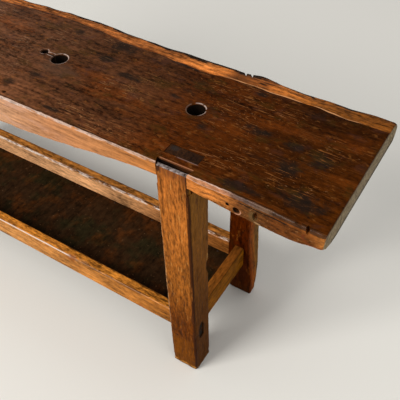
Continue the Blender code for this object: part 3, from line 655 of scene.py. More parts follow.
eddy = blot(x, y, (0.556, FRONT + 0.367, 0.026, 0.012)) + (sap_spots - 0.5) * 0.7
sap = (abs(eddy - 1.0).between(0.3, 0.1) * 0.75).blend(sap, (0.64, 0.215, 0.05))
sap = eddy.between(0.75, 0.35, 0.0, 0.55).blend(sap, (0.2, 0.058, 0.012))
sap_dirt = place.noise((16.0, 45.0, 45.0), 4.0, 0.65, shift=27.0).between(0.55, 0.68)
sap = (sap_dirt * 0.65).blend(sap, (0.11, 0.036, 0.01))
sap = (swell(x, 0.632, 0.055, 0.8) * sap_spots.between(0.35, 0.55)).blend(
    sap, (0.13, 0.04, 0.011))
bark = (z + (sap_spots - 0.5) * 0.01 + (cloud - 0.5) * 0.012 + x.between(0.7, 0.84, 0.0, 0.003)
        - swell(x, 0.632, 0.06, 0.002)).between(TOP - 0.012, TOP - 0.0165)
crust = place.noise((26.0, 60.0, 60.0), 4.0, 0.65, shift=43.0).ramp([
    (0.38, (0.022, 0.0115, 0.006)), (0.52, (0.06, 0.031, 0.015)),
    (0.64, (0.12, 0.064, 0.03))])
sap = bark.blend(sap, (TOP - z).between(0.0175, 0.026).blend((0.02, 0.0105, 0.0055), crust))
rim_tone = along.ramp([(0.79, (0.13, 0.03, 0.008)), (0.82, (0.62, 0.3, 0.13))])
rim = abs(past - 0.0016).between(0.0012, 0.0028, 1.0, 0.0) * place.noise(
    (18.0, 60.0, 60.0), 2.0, shift=33.0).between(0.36, 0.52)
sap = (rim * 0.85).blend(sap, rim_tone)
colour = past.between(-0.0004, 0.0008).blend(colour, sap)
knot = blot(x, y, (0.69, FRONT + 0.352, 0.014, 0.005)) + ragged * 0.4
colour = knot.between(1.2, 0.4).blend(colour, (0.04, 0.016, 0.007))

# Its underside, sawn ends and the walls of its holes, the walls with painted shade.
below = streaks.ramp([(0.35, (0.055, 0.026, 0.012)), (0.65, (0.15, 0.078, 0.038))])
colour = nz.between(-0.35, -0.6).blend(colour, below)
grey_end = place.noise((60.0, 110.0, 110.0), 3.0, 0.65, shift=37.0).ramp([
    (0.32, (0.12, 0.084, 0.046)), (0.68, (0.34, 0.258, 0.15))])
grey_end = ((year_rings * 0.5 + 0.5) * 0.35).blend(grey_end, (0.09, 0.072, 0.044))
grey_end = grey_end.shaded((z - TOP).between(-0.036, -0.052, 1.0, 0.36))
at_end = (abs(x) + (z - TOP) * -0.056).between(HALF - 0.0029, HALF - 0.0019)
colour = at_end.blend(colour, grey_end)
# Below the top, the walls of the holes, notches and mortises are painted near black: painted
# shade. In the right notch this lightens towards the outer end to a reddish glow, a painted bounce
# light.
wall_shade = ((TOP - z).between(0.0022, 0.005) * nz.between(0.45, 0.2) * nz.between(-0.4, -0.2)
        * inward.between(0.008, 0.01) * inward.between(0.3, 0.29) * (1.0 - at_end))
notch_wall_shade = x.between(0.655, 0.69).blend((0.01, 0.005, 0.0035), (0.045, 0.016, 0.006))
colour = wall_shade.blend(colour, inward.between(0.022, 0.027).blend(
    notch_wall_shade, (0.0085, 0.005, 0.0032)))
# The rims of the dog holes and the small hole are painted pale, most on their right sides: painted
# glints on the worn rims. The groove's edges are painted pale as wear.
rim_wear_and_glint = None
for dog in DOG_X:
    u, v = x - dog, y - DOG_Y
    away = (u * u + v * v).math("SQRT")
    ring = (abs(away - 0.0225).between(0.0005, 0.0018, 1.0, 0.0)
            * (u * 0.8 + v * 0.3).between(-0.014, 0.014, 0.18, 1.0))
    rim_wear_and_glint = ring if rim_wear_and_glint is None else rim_wear_and_glint.math("MAXIMUM", ring)
groove = blot(x, y, (*GROOVE, 0.022, 0.006))
rim_wear_and_glint = rim_wear_and_glint.math("MAXIMUM", abs(groove - 1.0).between(0.25, 0.05, 0.0, 0.7)
               * (x - 0.165).between(0.0, 0.004) * (x - 0.193).between(0.003, -0.001))
small = blot(x, y, (*SMALL_HOLE, 0.0112, 0.0112))
rim_wear_and_glint = rim_wear_and_glint.math("MAXIMUM", abs(small - 1.02).between(0.16, 0.04, 0.0, 0.6)
               * (x - 0.159).between(-0.006, 0.004, 0.15, 1.0))
rim_wear_and_glint = rim_wear_and_glint * (TOP - z).between(0.003, 0.0015) * place.noise(
    (70.0, 70.0, 70.0), 2.0, shift=41.0).between(0.34, 0.5)
colour = (rim_wear_and_glint * 0.85).blend(colour, (0.52, 0.4, 0.34))
colour = (blot(x, y, (*GROOVE, 0.016, 0.0032)).between(1.1, 0.6, 0.0, 0.9)
          * (TOP - z).between(0.0006, 0.002)).blend(colour, (0.03, 0.016, 0.009))

height = (fibres * 0.5 + streaks * 0.8 + mottle * 0.6 - scratch * 0.5 - stain * 0.15 - bark * 0.3
          + sap_lines * past.between(0.0, 0.003) * 1.2)
sheen = cloud.between(0.35, 0.65, 0.46, 0.34) + past.between(0.0, 0.004) * 0.16
gloss = arris * along.between(0.895, 0.91, 0.05, 0.14)
finished(shader, colour, sheen, height, 0.0011, gloss)
slab.data.materials.clear()
slab.data.materials.append(wood)

# The front legs: square hardwood posts, the arrises rubbed round and the feet knocked
# about. A dovetailed tongue stands in the slab's front edge and a tenon comes up behind it.
POST_DEEP = 0.0735          # from front to back
STRETCHER_TOP = 0.22
LONG_Z = (STRETCHER_TOP - 0.072, STRETCHER_TOP)
END_Z = (STRETCHER_TOP - 0.082, STRETCHER_TOP)


def post_outline(across, deep, radius, steps=4):
    """A rectangle with round corners, its straight sides cut into eight."""
    (x0, x1), (y0, y1) = across, deep
    points = []
    for cx, cy, start in ((x0 + radius, y0 + radius, math.pi),
                          (x1 - radius, y0 + radius, 1.5 * math.pi),
                          (x1 - radius, y1 - radius, 0.0),
                          (x0 + radius, y1 - radius, 0.5 * math.pi)):
        for i in range(steps):
            a = start + 0.5 * math.pi * i / (steps - 1)
            points.append((cx + radius * math.cos(a), cy + radius * math.sin(a)))
    dense = []
    for i, (u, v) in enumerate(points):
        u1, v1 = points[(i + 1) % len(points)]
        cuts = 8 if i % steps == steps - 1 else 1
        dense += [(mix(u, u1, s / cuts), mix(v, v1, s / cuts)) for s in range(cuts)]
    return dense


def post_heights(shoulder, steps):
    """Heights up a leg, and how far each of its rings is drawn in for the worn foot."""
    return [(0.0, 0.0045), (0.0016, 0.0018)] + [
        (mix(0.005, shoulder, i / steps), 0.0) for i in range(steps + 1)]


def front_leg(side, name):
    """A front leg, right or left by its side, 1 or -1."""
    shoulder = seat(side, LEG_INNER, LEG_OUTER) - 0.0003
    middle = 0.5 * (LEG_INNER + LEG_OUTER)
    rings = []
    for z, inset in post_heights(shoulder, 90):
        back = POST_DEEP + 0.0065 * ease(z, STRETCHER_TOP + 0.02, shoulder)
        ring = []
        for u, v in post_outline((LEG_INNER + inset, LEG_OUTER - inset),
                                 (FRONT + inset, FRONT + back - inset), 0.0036):
            to_inner, to_outer = u - LEG_INNER, LEG_OUTER - u
            to_front, to_back = v - FRONT, FRONT + back - v
            dent = 0.0002 + abs(rough((u, v, z), (0.02, 0.02, 0.09), 0.0006, side))
            if to_outer < 0.006 and to_front < 0.006:       # the bruised outer arris
                dent += 0.0008 + rough((u, v, z), (1, 1, 0.04), 0.0014, 2.0)
                dent += max(0.0, rough((u, v, z), (1, 1, 0.012), 0.0022, 4.0) - 0.0004)
            elif min(to_inner, to_outer) < 0.005 and min(to_front, to_back) < 0.005:
                dent += 0.0002 + abs(rough((u, v, z), (1, 1, 0.03), 0.0008, 6.0))
            if to_back < 0.012 and to_outer < 0.014:        # a piece torn out of this corner
                dent += swell(z, 0.428, 0.034, 0.006)
            if z < 0.03:
                dent += abs(rough((u, v, z), (0.012, 0.012, 0.012), 0.002, 8.0))
            bulge = swell(z, 0.3, 0.26, 0.0012) if to_inner < 0.01 and to_front < 0.03 else 0.0
            u2 = u - math.copysign(dent, u - middle) - bulge
            v2 = v - math.copysign(dent, v - (FRONT + back / 2))
            ring.append((side * u2, v2, z))
        rings.append(ring)
    leg = skin(name, rings)
    top = bmesh.new()
    tongue = [dovetail(side, -0.0006, (0.0006, 0.0108), shoulder - 0.01),
              dovetail(side, -0.0006, (0.0006, 0.0108), TOP - 0.0104),
              dovetail(side, -0.0009, (0.0014, 0.0107), TOP - 0.008),
              dovetail(side, -0.002, (0.0034, 0.0102), TOP - 0.0066)]
    add_rings(top, tongue)
    add_block(top, sorted((side * (LEG_INNER + 0.0004), side * (LEG_OUTER - 0.0004))),
              TENON_Y, (shoulder - 0.01, TOP - 0.0016))
    shaped(leg, piece("cutter", top), "UNION")
    mortise = bmesh.new()
    add_block(mortise, sorted((side * (LEG_INNER - 0.02), side * (LEG_OUTER + 0.02))),
              (FRONT + 0.0237, FRONT + 0.0423), (LONG_Z[0] + 0.0047, LONG_Z[1] - 0.0047))
    # A split stands open in the waned corner.
    add_scoop(mortise, (side * (LEG_OUTER + 0.002), FRONT + 0.069, 0.452), (0.012, 0.0018, 0.03))
    shaped(leg, piece("cutter", mortise))
    smooth(leg)
    return leg


front_right = front_leg(1, "front_right_post")
front_left = front_leg(-1, "front_left_post")

post_wood, place, faces, shader = new_finish("leg_wood_finish")
x, y, z = place.xyz()
nx, ny, nz = faces.xyz()
out = abs(x)
up = z / TOP
streaks = place.noise((120.0, 120.0, 9.0), 4.0, 0.7, shift=3.0)
ticks = place.noise((210.0, 210.0, 52.0), 3.0, 0.65, shift=11.0)
cloud = place.noise((14.0, 14.0, 6.0), 3.0, 0.6, shift=31.0)
fibres = place.noise((380.0, 380.0, 14.0), 3.0, 0.6, shift=5.0)
shade = ((streaks - 0.5) * 2.6 + (ticks - 0.5) * 2.8 + (cloud - 0.5) * 0.8 + 1.0).math(
    "MAXIMUM", 0.22)
front_tone = up.ramp([(0.0, (0.136, 0.038, 0.0006)), (0.17, (0.136, 0.037, 0.0006)),
                      (0.21, (0.108, 0.026, 0.0006)), (0.3, (0.112, 0.027, 0.0008)),
                      (0.5, (0.236, 0.073, 0.0085)),
                      (0.85, (0.33, 0.102, 0.016)), (1.0, (0.29, 0.088, 0.016))])
side_tone = up.ramp([(0.0, (0.07, 0.02, 0.0004)), (0.3, (0.086, 0.025, 0.0005)),
                     (0.6, (0.154, 0.053, 0.0055)), (1.0, (0.24, 0.1, 0.014))])
worn_foot = up.between(0.16, 0.21, 0.5, 1.0)
colour = abs(nx).between(0.5, 0.75).blend(front_tone.shaded((shade - 1.0) * worn_foot + 1.0),
                                           side_tone.shaded((shade - 1.0) * 0.55 + 1.0))
fleck = place.noise((180.0, 180.0, 26.0), 2.0, 0.6, shift=14.0).between(0.6, 0.7)
colour = (fleck * up.between(0.1, 0.5, 0.06, 0.5) * abs(nx).between(0.75, 0.5, 0.1, 1.0)).blend(
    colour, (0.54, 0.23, 0.055))
gash = place.noise((120.0, 120.0, 20.0), 3.0, 0.6, shift=18.0).between(0.59, 0.68)
colour = (gash * 0.65).blend(colour, (0.075, 0.022, 0.006))
smudge = place.noise((24.0, 24.0, 12.0), 3.0, 0.6, shift=28.0).between(0.58, 0.72)
colour = (smudge * 0.5).blend(colour, (0.06, 0.022, 0.006))
# Down the rounded outer front corner the leg is painted nearly black in streaks: painted shade
# where the lit front turns to the side.
outer_arris_shade = (LEG_OUTER - out).between(0.009, 0.006) * (y - FRONT).between(0.0085, 0.0055)
colour = (outer_arris_shade * streaks.between(0.36, 0.5) * 0.94).blend(
    colour, (0.034, 0.01, 0.0035))
# A pale line down the inner front arris is a painted highlight; the same strip takes a little
# coat.
inner_arris_glint = (out - LEG_INNER).between(0.0045, 0.002) * (y - FRONT).between(0.007, 0.003)
colour = (inner_arris_glint * ticks.between(0.4, 0.55) * 0.45).blend(colour, (0.56, 0.32, 0.14))
foot_line = z - (ticks - 0.5) * 0.012
colour = (abs(foot_line - 0.0125).between(0.006, 0.003) * abs(nx).between(0.7, 0.5, 0.15, 1.0)
          * place.noise((60.0, 60.0, 60.0), 2.0, shift=25.0).between(0.34, 0.48) * 0.8).blend(
              colour, (0.42, 0.18, 0.034))
colour = (foot_line.between(0.0068, 0.0042) * 0.85).blend(colour, (0.04, 0.012, 0.003))
scored = (abs(z - 0.158 + (cloud - 0.5) * 0.01).between(0.0075, 0.003)
          * place.noise((30.0, 30.0, 420.0), 2.0, 0.5, shift=36.0).between(0.5, 0.6)
          * ny.between(-0.5, -0.7))
colour = (scored * 0.7).blend(colour, (0.05, 0.014, 0.004))
# The leg is darker in patches near its top, and darker still at the very top towards its inner
# side.
darker_near_top = (z.between(TOP - 0.04, TOP - 0.014) * (ticks + cloud).between(0.9, 1.1))
colour = (darker_near_top * 0.65).blend(colour, (0.075, 0.024, 0.012))
darkest_top_inner = (z + ticks * 0.03).between(TOP - 0.012, TOP - 0.002) * (out - LEG_INNER).between(
    0.02, 0.008)
colour = (darkest_top_inner * 0.85).blend(colour, (0.03, 0.012, 0.008))
end_grain = (ticks * 0.5 + streaks * 0.5).ramp([(0.4, (0.045, 0.03, 0.026)),
                                               (0.6, (0.36, 0.3, 0.285))])
# Behind its front strip the tongue's end grain is painted dark: painted shade down in the slab's
# notch.
end_grain = (y - FRONT).between(0.0094, 0.0102).blend(end_grain, (0.02, 0.012, 0.008))
tenon_end = (streaks * 0.3 + cloud * 0.4 + ticks * 0.3).ramp([
    (0.38, (0.012, 0.0062, 0.0045)), (0.5, (0.034, 0.0135, 0.006)),
    (0.62, (0.09, 0.034, 0.012))])
grey_patch = blot(out, y, (0.641, FRONT + 0.057, 0.012, 0.008)) + (cloud - 0.5) * 2.0
tenon_end = grey_patch.between(1.2, 0.4, 0.0, 0.8).blend(tenon_end, (0.03, 0.022, 0.019))
end_grain = (y - FRONT).between(0.02, 0.03).blend(end_grain, tenon_end)
colour = (nz.between(0.35, 0.6) * z.between(TOP - 0.05, TOP - 0.04)).blend(colour, end_grain)
sliver = blot(y, z, (FRONT + 0.0695, 0.463, 0.0035, 0.02)).between(1.15, 0.75) * nx.between(
    0.3, 0.5)
colour = (sliver * 0.9).blend(colour, (0.44, 0.24, 0.075))
torn = blot(y, z, (FRONT + 0.067, 0.438, 0.002, 0.017)).between(1.2, 0.7) * nx.between(0.3, 0.5)
colour = torn.blend(colour, (0.016, 0.008, 0.004))
spot = blot(x, z, (0.6467, 0.1547, 0.0045, 0.0045)).between(1.1, 0.6) * ny.between(-0.5, -0.7)
colour = spot.blend(colour, (0.03, 0.01, 0.004))
in_mortise = ((y - FRONT).between(0.0234, 0.0239) * (y - FRONT).between(0.0426, 0.0421)
              * z.between(LONG_Z[0] + 0.0044, LONG_Z[0] + 0.0049)
              * z.between(LONG_Z[1] - 0.0044, LONG_Z[1] - 0.0049)
              * abs(nx).between(0.6, 0.4))
mouth = (blot(y, z, (FRONT + 0.033, 0.184, 0.0132, 0.037)) + (ticks - 0.5) * 0.5).between(
    1.15, 0.92) * (x.math("SIGN") * nx).between(0.5, 0.7)
in_mortise = in_mortise.math("MAXIMUM", mouth * 0.9)
colour = in_mortise.blend(colour, (0.013, 0.007, 0.003))
height = fibres * 0.5 + streaks * 0.7 + ticks * 0.6 - gash * 0.4
finished(shader, colour, smudge * 0.15 + 0.46, height, 0.0012, inner_arris_glint * 0.25)
for leg, node in ((front_right, "front_right_leg"), (front_left, "front_left_leg")):
    leg.data.materials.clear()
    leg.data.materials.append(post_wood)
    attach(leg, "root")
    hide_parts(node)


# The rear legs: hewn out of the same stuff as the front ones but darker, square above and
# spreading at the floor. The slab sits down over their shoulders.
REAR_FACE = FRONT + 0.3156


def rear_leg(side, name):
    """A rear leg. Its outer face leans out at the foot and its back leans in."""
    shoulder = seat(side, REAR_INNER, REAR_OUTER) - 0.0003
    front = REAR_FACE
    rings = []
    for z, inset in post_heights(shoulder, 84):
        outer = REAR_OUTER + 0.0145 * (1.0 - ease(z, 0.05, STRETCHER_TOP + 0.04))
        inner = REAR_INNER + 0.0075 * (1.0 - ease(z, -0.06, END_Z[0] - 0.01))
        back = front + 0.0664 - 0.03 * (1.0 - ease(z, -0.02, STRETCHER_TOP + 0.005))
        ring = []
        for u, v in post_outline((inner + inset, outer - inset), (front + inset, back - inset),
                                 0.0038):
            near_x, near_y = min(u - inner, outer - u), min(v - front, back - v)
            dent = 0.0002 + abs(rough((u, v, z), (0.02, 0.02, 0.08), 0.0005, side * 3.0))
            if near_x < 0.006 and near_y < 0.006:
                dent += abs(rough((u, v, z), (1, 1, 0.03), 0.0008, 6.0))
            if outer - u < 0.008 and v - front < 0.008:     # broad worn corner
                dent += 0.001 * ease(z, 0.1, 0.22)
            if outer - u < 0.014 and back - v < 0.02:      # hewn back corner
                dent += abs(rough((u, v, z), (0.02, 0.02, 0.06), 0.001, 4.0))
            if z < 0.03:
                dent += abs(rough((u, v, z), (0.012, 0.012, 0.012), 0.002, 8.0))
            u -= math.copysign(dent, u - 0.5 * (inner + outer))
            v -= math.copysign(dent, v - 0.5 * (front + back))
            ring.append((side * u, v, z))
        rings.append(ring)
    leg = skin(name, rings)
    hole = bmesh.new()
    add_bore(hole, (side * (REAR_INNER + 0.02), 0.5 * sum(LONG_Z)), [
        (front + 0.045, 0.0046), (front + 0.1, 0.0046)], 16, "y")
    shaped(leg, piece("cutter", hole))
    smooth(leg)
    return leg


rear_right = rear_leg(1, "rear_right_post")
rear_left = rear_leg(-1, "rear_left_post")

hewn, place, faces, shader = new_finish("rear_leg_finish")
x, y, z = place.xyz()
nx = faces.xyz()[0]
streaks = place.noise((70.0, 70.0, 6.0), 4.0, 0.7, shift=13.0)
ticks = place.noise((130.0, 130.0, 36.0), 3.0, 0.65, shift=16.0)
fibres = place.noise((380.0, 380.0, 14.0), 3.0, 0.6, shift=15.0)
shade = ((streaks - 0.5) * 3.0 + (ticks - 0.5) * 2.4 + 1.0).math("MAXIMUM", 0.22)
side_tone = ((y - REAR_FACE) / 0.066).ramp([
    (0.0, (0.076, 0.013, 0.0008)), (0.1, (0.11, 0.021, 0.0012)), (0.24, (0.205, 0.048, 0.0034)),
    (0.42, (0.21, 0.058, 0.0055)), (0.58, (0.18, 0.074, 0.012)), (1.0, (0.16, 0.082, 0.02))])
front_tone = (z / 0.5).ramp([
    (0.0, (0.058, 0.014, 0.001)), (0.1, (0.052, 0.01, 0.0003)),
    (0.45, (0.044, 0.0066, 0.0002)), (0.7, (0.054, 0.0086, 0.0002)),
    (1.0, (0.11, 0.02, 0.0005))])
colour = (x.math("SIGN") * nx).between(0.35, 0.6).blend(front_tone, side_tone).shaded(shade)
fleck = place.noise((95.0, 95.0, 34.0), 3.0, 0.65, shift=21.0).between(0.57, 0.68)
colour = (fleck * 0.5).blend(colour, (0.21, 0.062, 0.008))
smudge = place.noise((26.0, 26.0, 12.0), 3.0, shift=6.0).between(0.56, 0.7)
colour = (smudge * 0.6).blend(colour, (0.036, 0.011, 0.002))
pits = place.noise((80.0, 80.0, 50.0), 3.0, 0.65, shift=26.0).between(0.6, 0.69)
colour = (pits * 0.75).blend(colour, (0.014, 0.005, 0.0025))
colour = (z.between(0.009, 0.003) * 0.9).blend(colour, (0.022, 0.006, 0.003))
height = fibres * 0.5 + streaks * 0.7 + ticks * 0.5
finished(shader, colour, 0.48, height, 0.0013)
for leg, node in ((rear_right, "rear_right_leg"), (rear_left, "rear_left_leg")):
    leg.data.materials.clear()
    leg.data.materials.append(hewn)
    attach(leg, "root")
    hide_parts(node)


# The long stretchers: pale sticks tenoned into the legs, the upper arrises polished by feet,
# with painted highlights along them, and the front one chipped and split along its edge.
def long_rail(name, reach, deep, chips, seed):
    """A stretcher that reaches as far each way; a chip has its place, length and depth."""
    rings = []
    for i in range(221):
        x = mix(-reach, reach, i / 220)
        ring = []
        for v, h in post_outline(deep, LONG_Z, 0.0028):
            dent = 0.0002 + abs(rough((x, v, h), (0.12, 0.015, 0.015), 0.0004, seed))
            if LONG_Z[1] - h < 0.005 and min(v - deep[0], deep[1] - v) < 0.005:
                dent += 0.0003 + rough((x, v, h), (0.05, 1, 1), 0.0005, seed + 3)
            if LONG_Z[1] - h < 0.01 and v - deep[0] < 0.0065:
                dent += sum(swell(x, at, long, cut) for at, long, cut in chips)
            ring.append((x, v - math.copysign(dent, v - 0.5 * sum(deep)),
                         h - math.copysign(dent, h - 0.5 * sum(LONG_Z))))
        rings.append(ring)
    return skin(name, rings)


front_rail = long_rail("front_rail", LEG_INNER - 0.0003, (FRONT + 0.024, FRONT + 0.054),
                       ((0.25, 0.01, 0.0035), (0.271, 0.014, 0.003), (0.3, 0.04, 0.0012)),
                       1.0)
tenons = bmesh.new()
for side in (1, -1):
    add_block(tenons, sorted((side * (LEG_INNER - 0.02), side * (LEG_OUTER - 0.003))),
              (FRONT + 0.0243, FRONT + 0.0417), (LONG_Z[0] + 0.005, LONG_Z[1] - 0.005))
shaped(front_rail, piece("cutter", tenons), "UNION")
kerfs = bmesh.new()
TENON_MIDDLE = 0.184        # height of the saw cut that takes the wedge
for side in (1, -1):
    add_block(kerfs, sorted((side * (LEG_OUTER - 0.049), side * (LEG_OUTER + 0.01))),
              (FRONT + 0.01, FRONT + 0.06), (TENON_MIDDLE - 0.0021, TENON_MIDDLE + 0.0021))
# The split along the top of the front stretcher, beside its arris.
crack = []
for i in range(15):
    t = i / 14
    x = mix(0.36, 0.56, t)
    gape = 0.0012 * math.sin(math.pi * t) ** 0.6 + 0.0001
    y = FRONT + 0.029 + 0.001 * math.sin(8 * t)
    crack.append([(x, y - gape, LONG_Z[1] + 0.004), (x, y + gape, LONG_Z[1] + 0.004),
                  (x, y + 0.2 * gape, LONG_Z[1] - 0.006), (x, y - 0.2 * gape, LONG_Z[1] - 0.006)])
add_rings(kerfs, crack)
shaped(front_rail, piece("cutter", kerfs))
REAR_RAIL_Y = (FRONT + 0.3166, FRONT + 0.3536)
rear_rail = long_rail("rear_rail", REAR_INNER - 0.0003, REAR_RAIL_Y,
                      ((0.26, 0.03, 0.0014), (-0.1, 0.02, 0.0014)), 5.0)

pale_wood, place, faces, shader = new_finish("stretcher_wood_finish", coat_roughness=0.16)
x, y, z = place.xyz()
ny, nz = faces.xyz()[1:]
along = x * 0.5 + 0.5
behind = y.between(-0.02, 0.02)
streaks = place.noise((8.0, 90.0, 90.0), 4.0, 0.7, shift=1.0)
ticks = place.noise((45.0, 140.0, 140.0), 3.0, 0.65, shift=4.0)
fibres = place.noise((16.0, 420.0, 420.0), 3.0, 0.6, shift=5.0)
cloud = place.noise((7.0, 14.0, 14.0), 3.0, 0.6, shift=8.0)
on_top = nz.between(0.45, 0.75)
shade = ((streaks - 0.5) * (on_top * 1.4 + 2.1) + (ticks - 0.5) * (on_top * 2.0 + 1.9)
         + (cloud - 0.5) * 2.2 + 1.0).math("MAXIMUM", 0.25)
front_face = along.ramp([(0.5, (0.46, 0.2, 0.056)), (0.65, (0.43, 0.168, 0.036)),
                         (0.8, (0.36, 0.125, 0.019))])
rear_face = along.ramp([(0.5, (0.64, 0.335, 0.155)), (0.62, (0.59, 0.29, 0.12)),
                        (0.7, (0.36, 0.14, 0.042)), (0.8, (0.35, 0.12, 0.024))])
face_tone = behind.blend(front_face, rear_face)
top_tone = behind.blend((0.52, 0.185, 0.024), (0.33, 0.12, 0.021))
colour = on_top.blend(face_tone, top_tone).shaded(shade)
dirt = place.noise((10.0, 40.0, 40.0), 4.0, 0.65, shift=9.0).between(0.55, 0.68)
colour = (dirt * 0.6).blend(colour, (0.15, 0.048, 0.01))
burn = place.noise((13.0, 13.0, 13.0), 3.0, 0.6, shift=12.0).between(0.6, 0.7) * (1.0 - behind)
colour = (burn * 0.55).blend(colour, (0.25, 0.06, 0.01))
front_arris = nz.between(0.15, 0.4) * ny.between(-0.1, -0.35)
back_arris = nz.between(0.15, 0.4) * ny.between(0.1, 0.35)
patchy = place.noise((26.0, 90.0, 90.0), 4.0, 0.7, shift=16.0)
broken = x.between(-0.06, 0.04)
whole = (1.0 - broken).math("MAXIMUM", patchy.between(0.42, 0.54))
inside = y - REAR_RAIL_Y[0]
trodden = (behind * nz.between(0.8, 0.95) * inside.between(0.0145, 0.009) * broken
           * streaks.between(0.4, 0.52))
colour = (trodden * 0.65).blend(colour, (0.07, 0.034, 0.022))
wide = ((inside - x.between(-0.1, 0.04, 0.0, 0.0016) + (ticks - 0.5) * 0.008).between(
    0.0078, 0.0052) * z.between(LONG_Z[1] - 0.0058, LONG_Z[1] - 0.004))
# The near-white strips along the upper front arrises, on the front rail at its left and on the
# rear rail, are painted highlights over real polish.
polish_and_glint = behind.blend(front_arris * x.between(0.252, 0.238, 0.1, 0.8),
                      wide * whole * ticks.between(0.4, 0.54, 0.22, 0.9))
colour = polish_and_glint.blend(colour, (0.76, 0.64, 0.56))
# The pale lilac shine on the rear rail's top is a painted sheen.
shine = (behind * nz.between(0.8, 0.95) * inside.between(0.013, 0.003)
         * patchy.between(0.45, 0.55) * broken * x.between(0.58, 0.54, 0.25, 1.0))
colour = (shine * 0.75).blend(colour, (0.48, 0.37, 0.32))
slit = behind.blend(x.between(0.24, 0.28) * patchy.between(0.54, 0.46), broken * patchy.between(
    0.48, 0.4)) * nz.between(0.8, 0.95) * behind.blend(
        abs(y - (FRONT + 0.029)).between(0.0026, 0.001),
        abs(y - (FRONT + 0.3255)).between(0.005, 0.002))
colour = (slit * 0.8).blend(colour, (0.035, 0.014, 0.004))
colour = (back_arris * 0.75).blend(colour, (0.06, 0.022, 0.006))
tip = abs(x).between(LEG_OUTER - 0.0065, LEG_OUTER - 0.005)
colour = tip.blend(colour, (0.012, 0.007, 0.004))
height = fibres * 0.5 + streaks * 0.7 + ticks * 0.4
finished(shader, colour, 0.44 - polish_and_glint * 0.16, height, 0.0011, (polish_and_glint + shine) * 0.35)
for rail, node in ((front_rail, "front_stretcher"), (rear_rail, "rear_stretcher")):
    smooth(rail)
    rail.data.materials.clear()
    rail.data.materials.append(pale_wood)
    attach(rail, "root")
    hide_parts(node)

# Wedges in the through tenons and pegs in the rear legs, split from the same wood and
# driven home. They keep their shapes and take the rear legs' finish.
for node in ("right_tenon_wedge", "left_tenon_wedge", "rear_right_peg", "rear_left_peg"):
    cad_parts[node].material_slots[0].material = hewn


# The end stretchers: shorter and deeper than the long ones, olive brown from handling, and
# tenoned between the two legs of each end.
def end_rail(side, name):
    """An end stretcher; its length runs from the front leg to the rear one."""
    inner, outer = 0.651, 0.682
    rings = []
    for i in range(49):
        y = mix(FRONT + 0.0738, FRONT + 0.3153, i / 48)
        ring = []
        for u, h in post_outline((inner, outer), END_Z, 0.003):
            dent = 0.0002 + abs(rough((u, y, h), (0.015, 0.06, 0.015), 0.0007, side))
            if END_Z[1] - h < 0.005 and min(u - inner, outer - u) < 0.005:
                dent += 0.0004 + abs(rough((u, y, h), (1, 0.03, 1), 0.0012, 3.0))
            ring.append((side * (u - math.copysign(dent, u - 0.5 * (inner + outer))), y,
                         h - math.copysign(dent, h - 0.5 * sum(END_Z))))
        rings.append(ring)
    return skin(name, rings)


right_rail = end_rail(1, "right_end_rail")
left_rail = end_rail(-1, "left_end_rail")
brown, place, faces, shader = new_finish("end_stretcher_finish")
y = place.xyz()[1]
nz = faces.xyz()[2]
streaks = place.noise((85.0, 9.0, 85.0), 4.0, 0.7, shift=7.0)
ticks = place.noise((130.0, 45.0, 130.0), 3.0, 0.65, shift=9.0)
fibres = place.noise((420.0, 18.0, 420.0), 3.0, 0.6, shift=5.0)
shade = ((streaks - 0.5) * 3.0 + (ticks - 0.5) * 2.4 + 1.0).math("MAXIMUM", 0.22)
# The sides darken from the front leg towards the rear leg, under the slab: painted shade.
side_shade_to_back = ((y - FRONT - POST_DEEP) / 0.242).ramp([
    (0.0, (0.26, 0.095, 0.016)), (0.5, (0.2, 0.062, 0.008)), (1.0, (0.11, 0.034, 0.005))])
colour = nz.between(0.45, 0.75).blend((0.19, 0.064, 0.0025), side_shade_to_back).shaded(shade)
edge_line = nz.between(0.15, 0.35) * nz.between(0.9, 0.7)
colour = (edge_line * 0.75).blend(colour, (0.055, 0.02, 0.004))
smudge = place.noise((30.0, 14.0, 30.0), 3.0, shift=2.0).between(0.56, 0.7)
colour = (smudge * 0.55).blend(colour, (0.055, 0.022, 0.005))
finished(shader, colour, 0.48, fibres * 0.5 + streaks * 0.7, 0.0012)
for rail, node in ((right_rail, "right_end_stretcher"), (left_rail, "left_end_stretcher")):
    smooth(rail)
    rail.data.materials.append(brown)
    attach(rail, "root")
    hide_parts(node)

# The ledgers: plain sawn battens of pale wood, nailed up under the long stretchers to carry
# the shelf. They are hidden from above and keep their shapes.
batten, place, _, shader = new_finish("ledger_wood_finish")
streaks = place.noise((8.0, 90.0, 90.0), 4.0, 0.7, shift=2.0)
fibres = place.noise((18.0, 420.0, 420.0), 3.0, 0.6, shift=5.0)
colour = streaks.ramp([(0.3, (0.07, 0.03, 0.01)), (0.5, (0.15, 0.068, 0.022)),
                       (0.7, (0.27, 0.14, 0.055))])
finished(shader, colour, 0.6, fibres * 0.6 + streaks * 0.6, 0.001)
for node in ("front_ledger", "rear_ledger"):
    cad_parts[node].material_slots[0].material = batten


# The shelf: old dark boards laid side by side from front to back, rubbed smooth and
# dulled by dirt, so that their joints hardly show. They are nailed at both ends.
def board(number):
    """A shelf board in its node's box, notched back where it meets the front legs."""
    node = f"shelf_board_{number}"
    low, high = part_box(node)
    rings = []
    for i in range(33):
        y = mix(low[1], high[1], i / 32)
        cut = LEG_INNER - 0.0004 if y < FRONT + 0.0739 else 1.0
        x0, x1 = max(low[0] - 0.0004, -cut), min(high[0] + 0.0004, cut)
        ring = []
        for u, h in post_outline((x0, x1), (low[2], high[2]), 0.0007, 3):
            dent = 0.0001
            if h > high[2] - 0.002:
                dent += abs(rough((u, y, h), (0.05, 0.1, 1), 0.0007, number + 2))
            ring.append((u, y, h - math.copysign(dent, h - 0.5 * (low[2] + high[2]))))
        rings.append(ring)
    return skin(f"board_{number}", rings), node


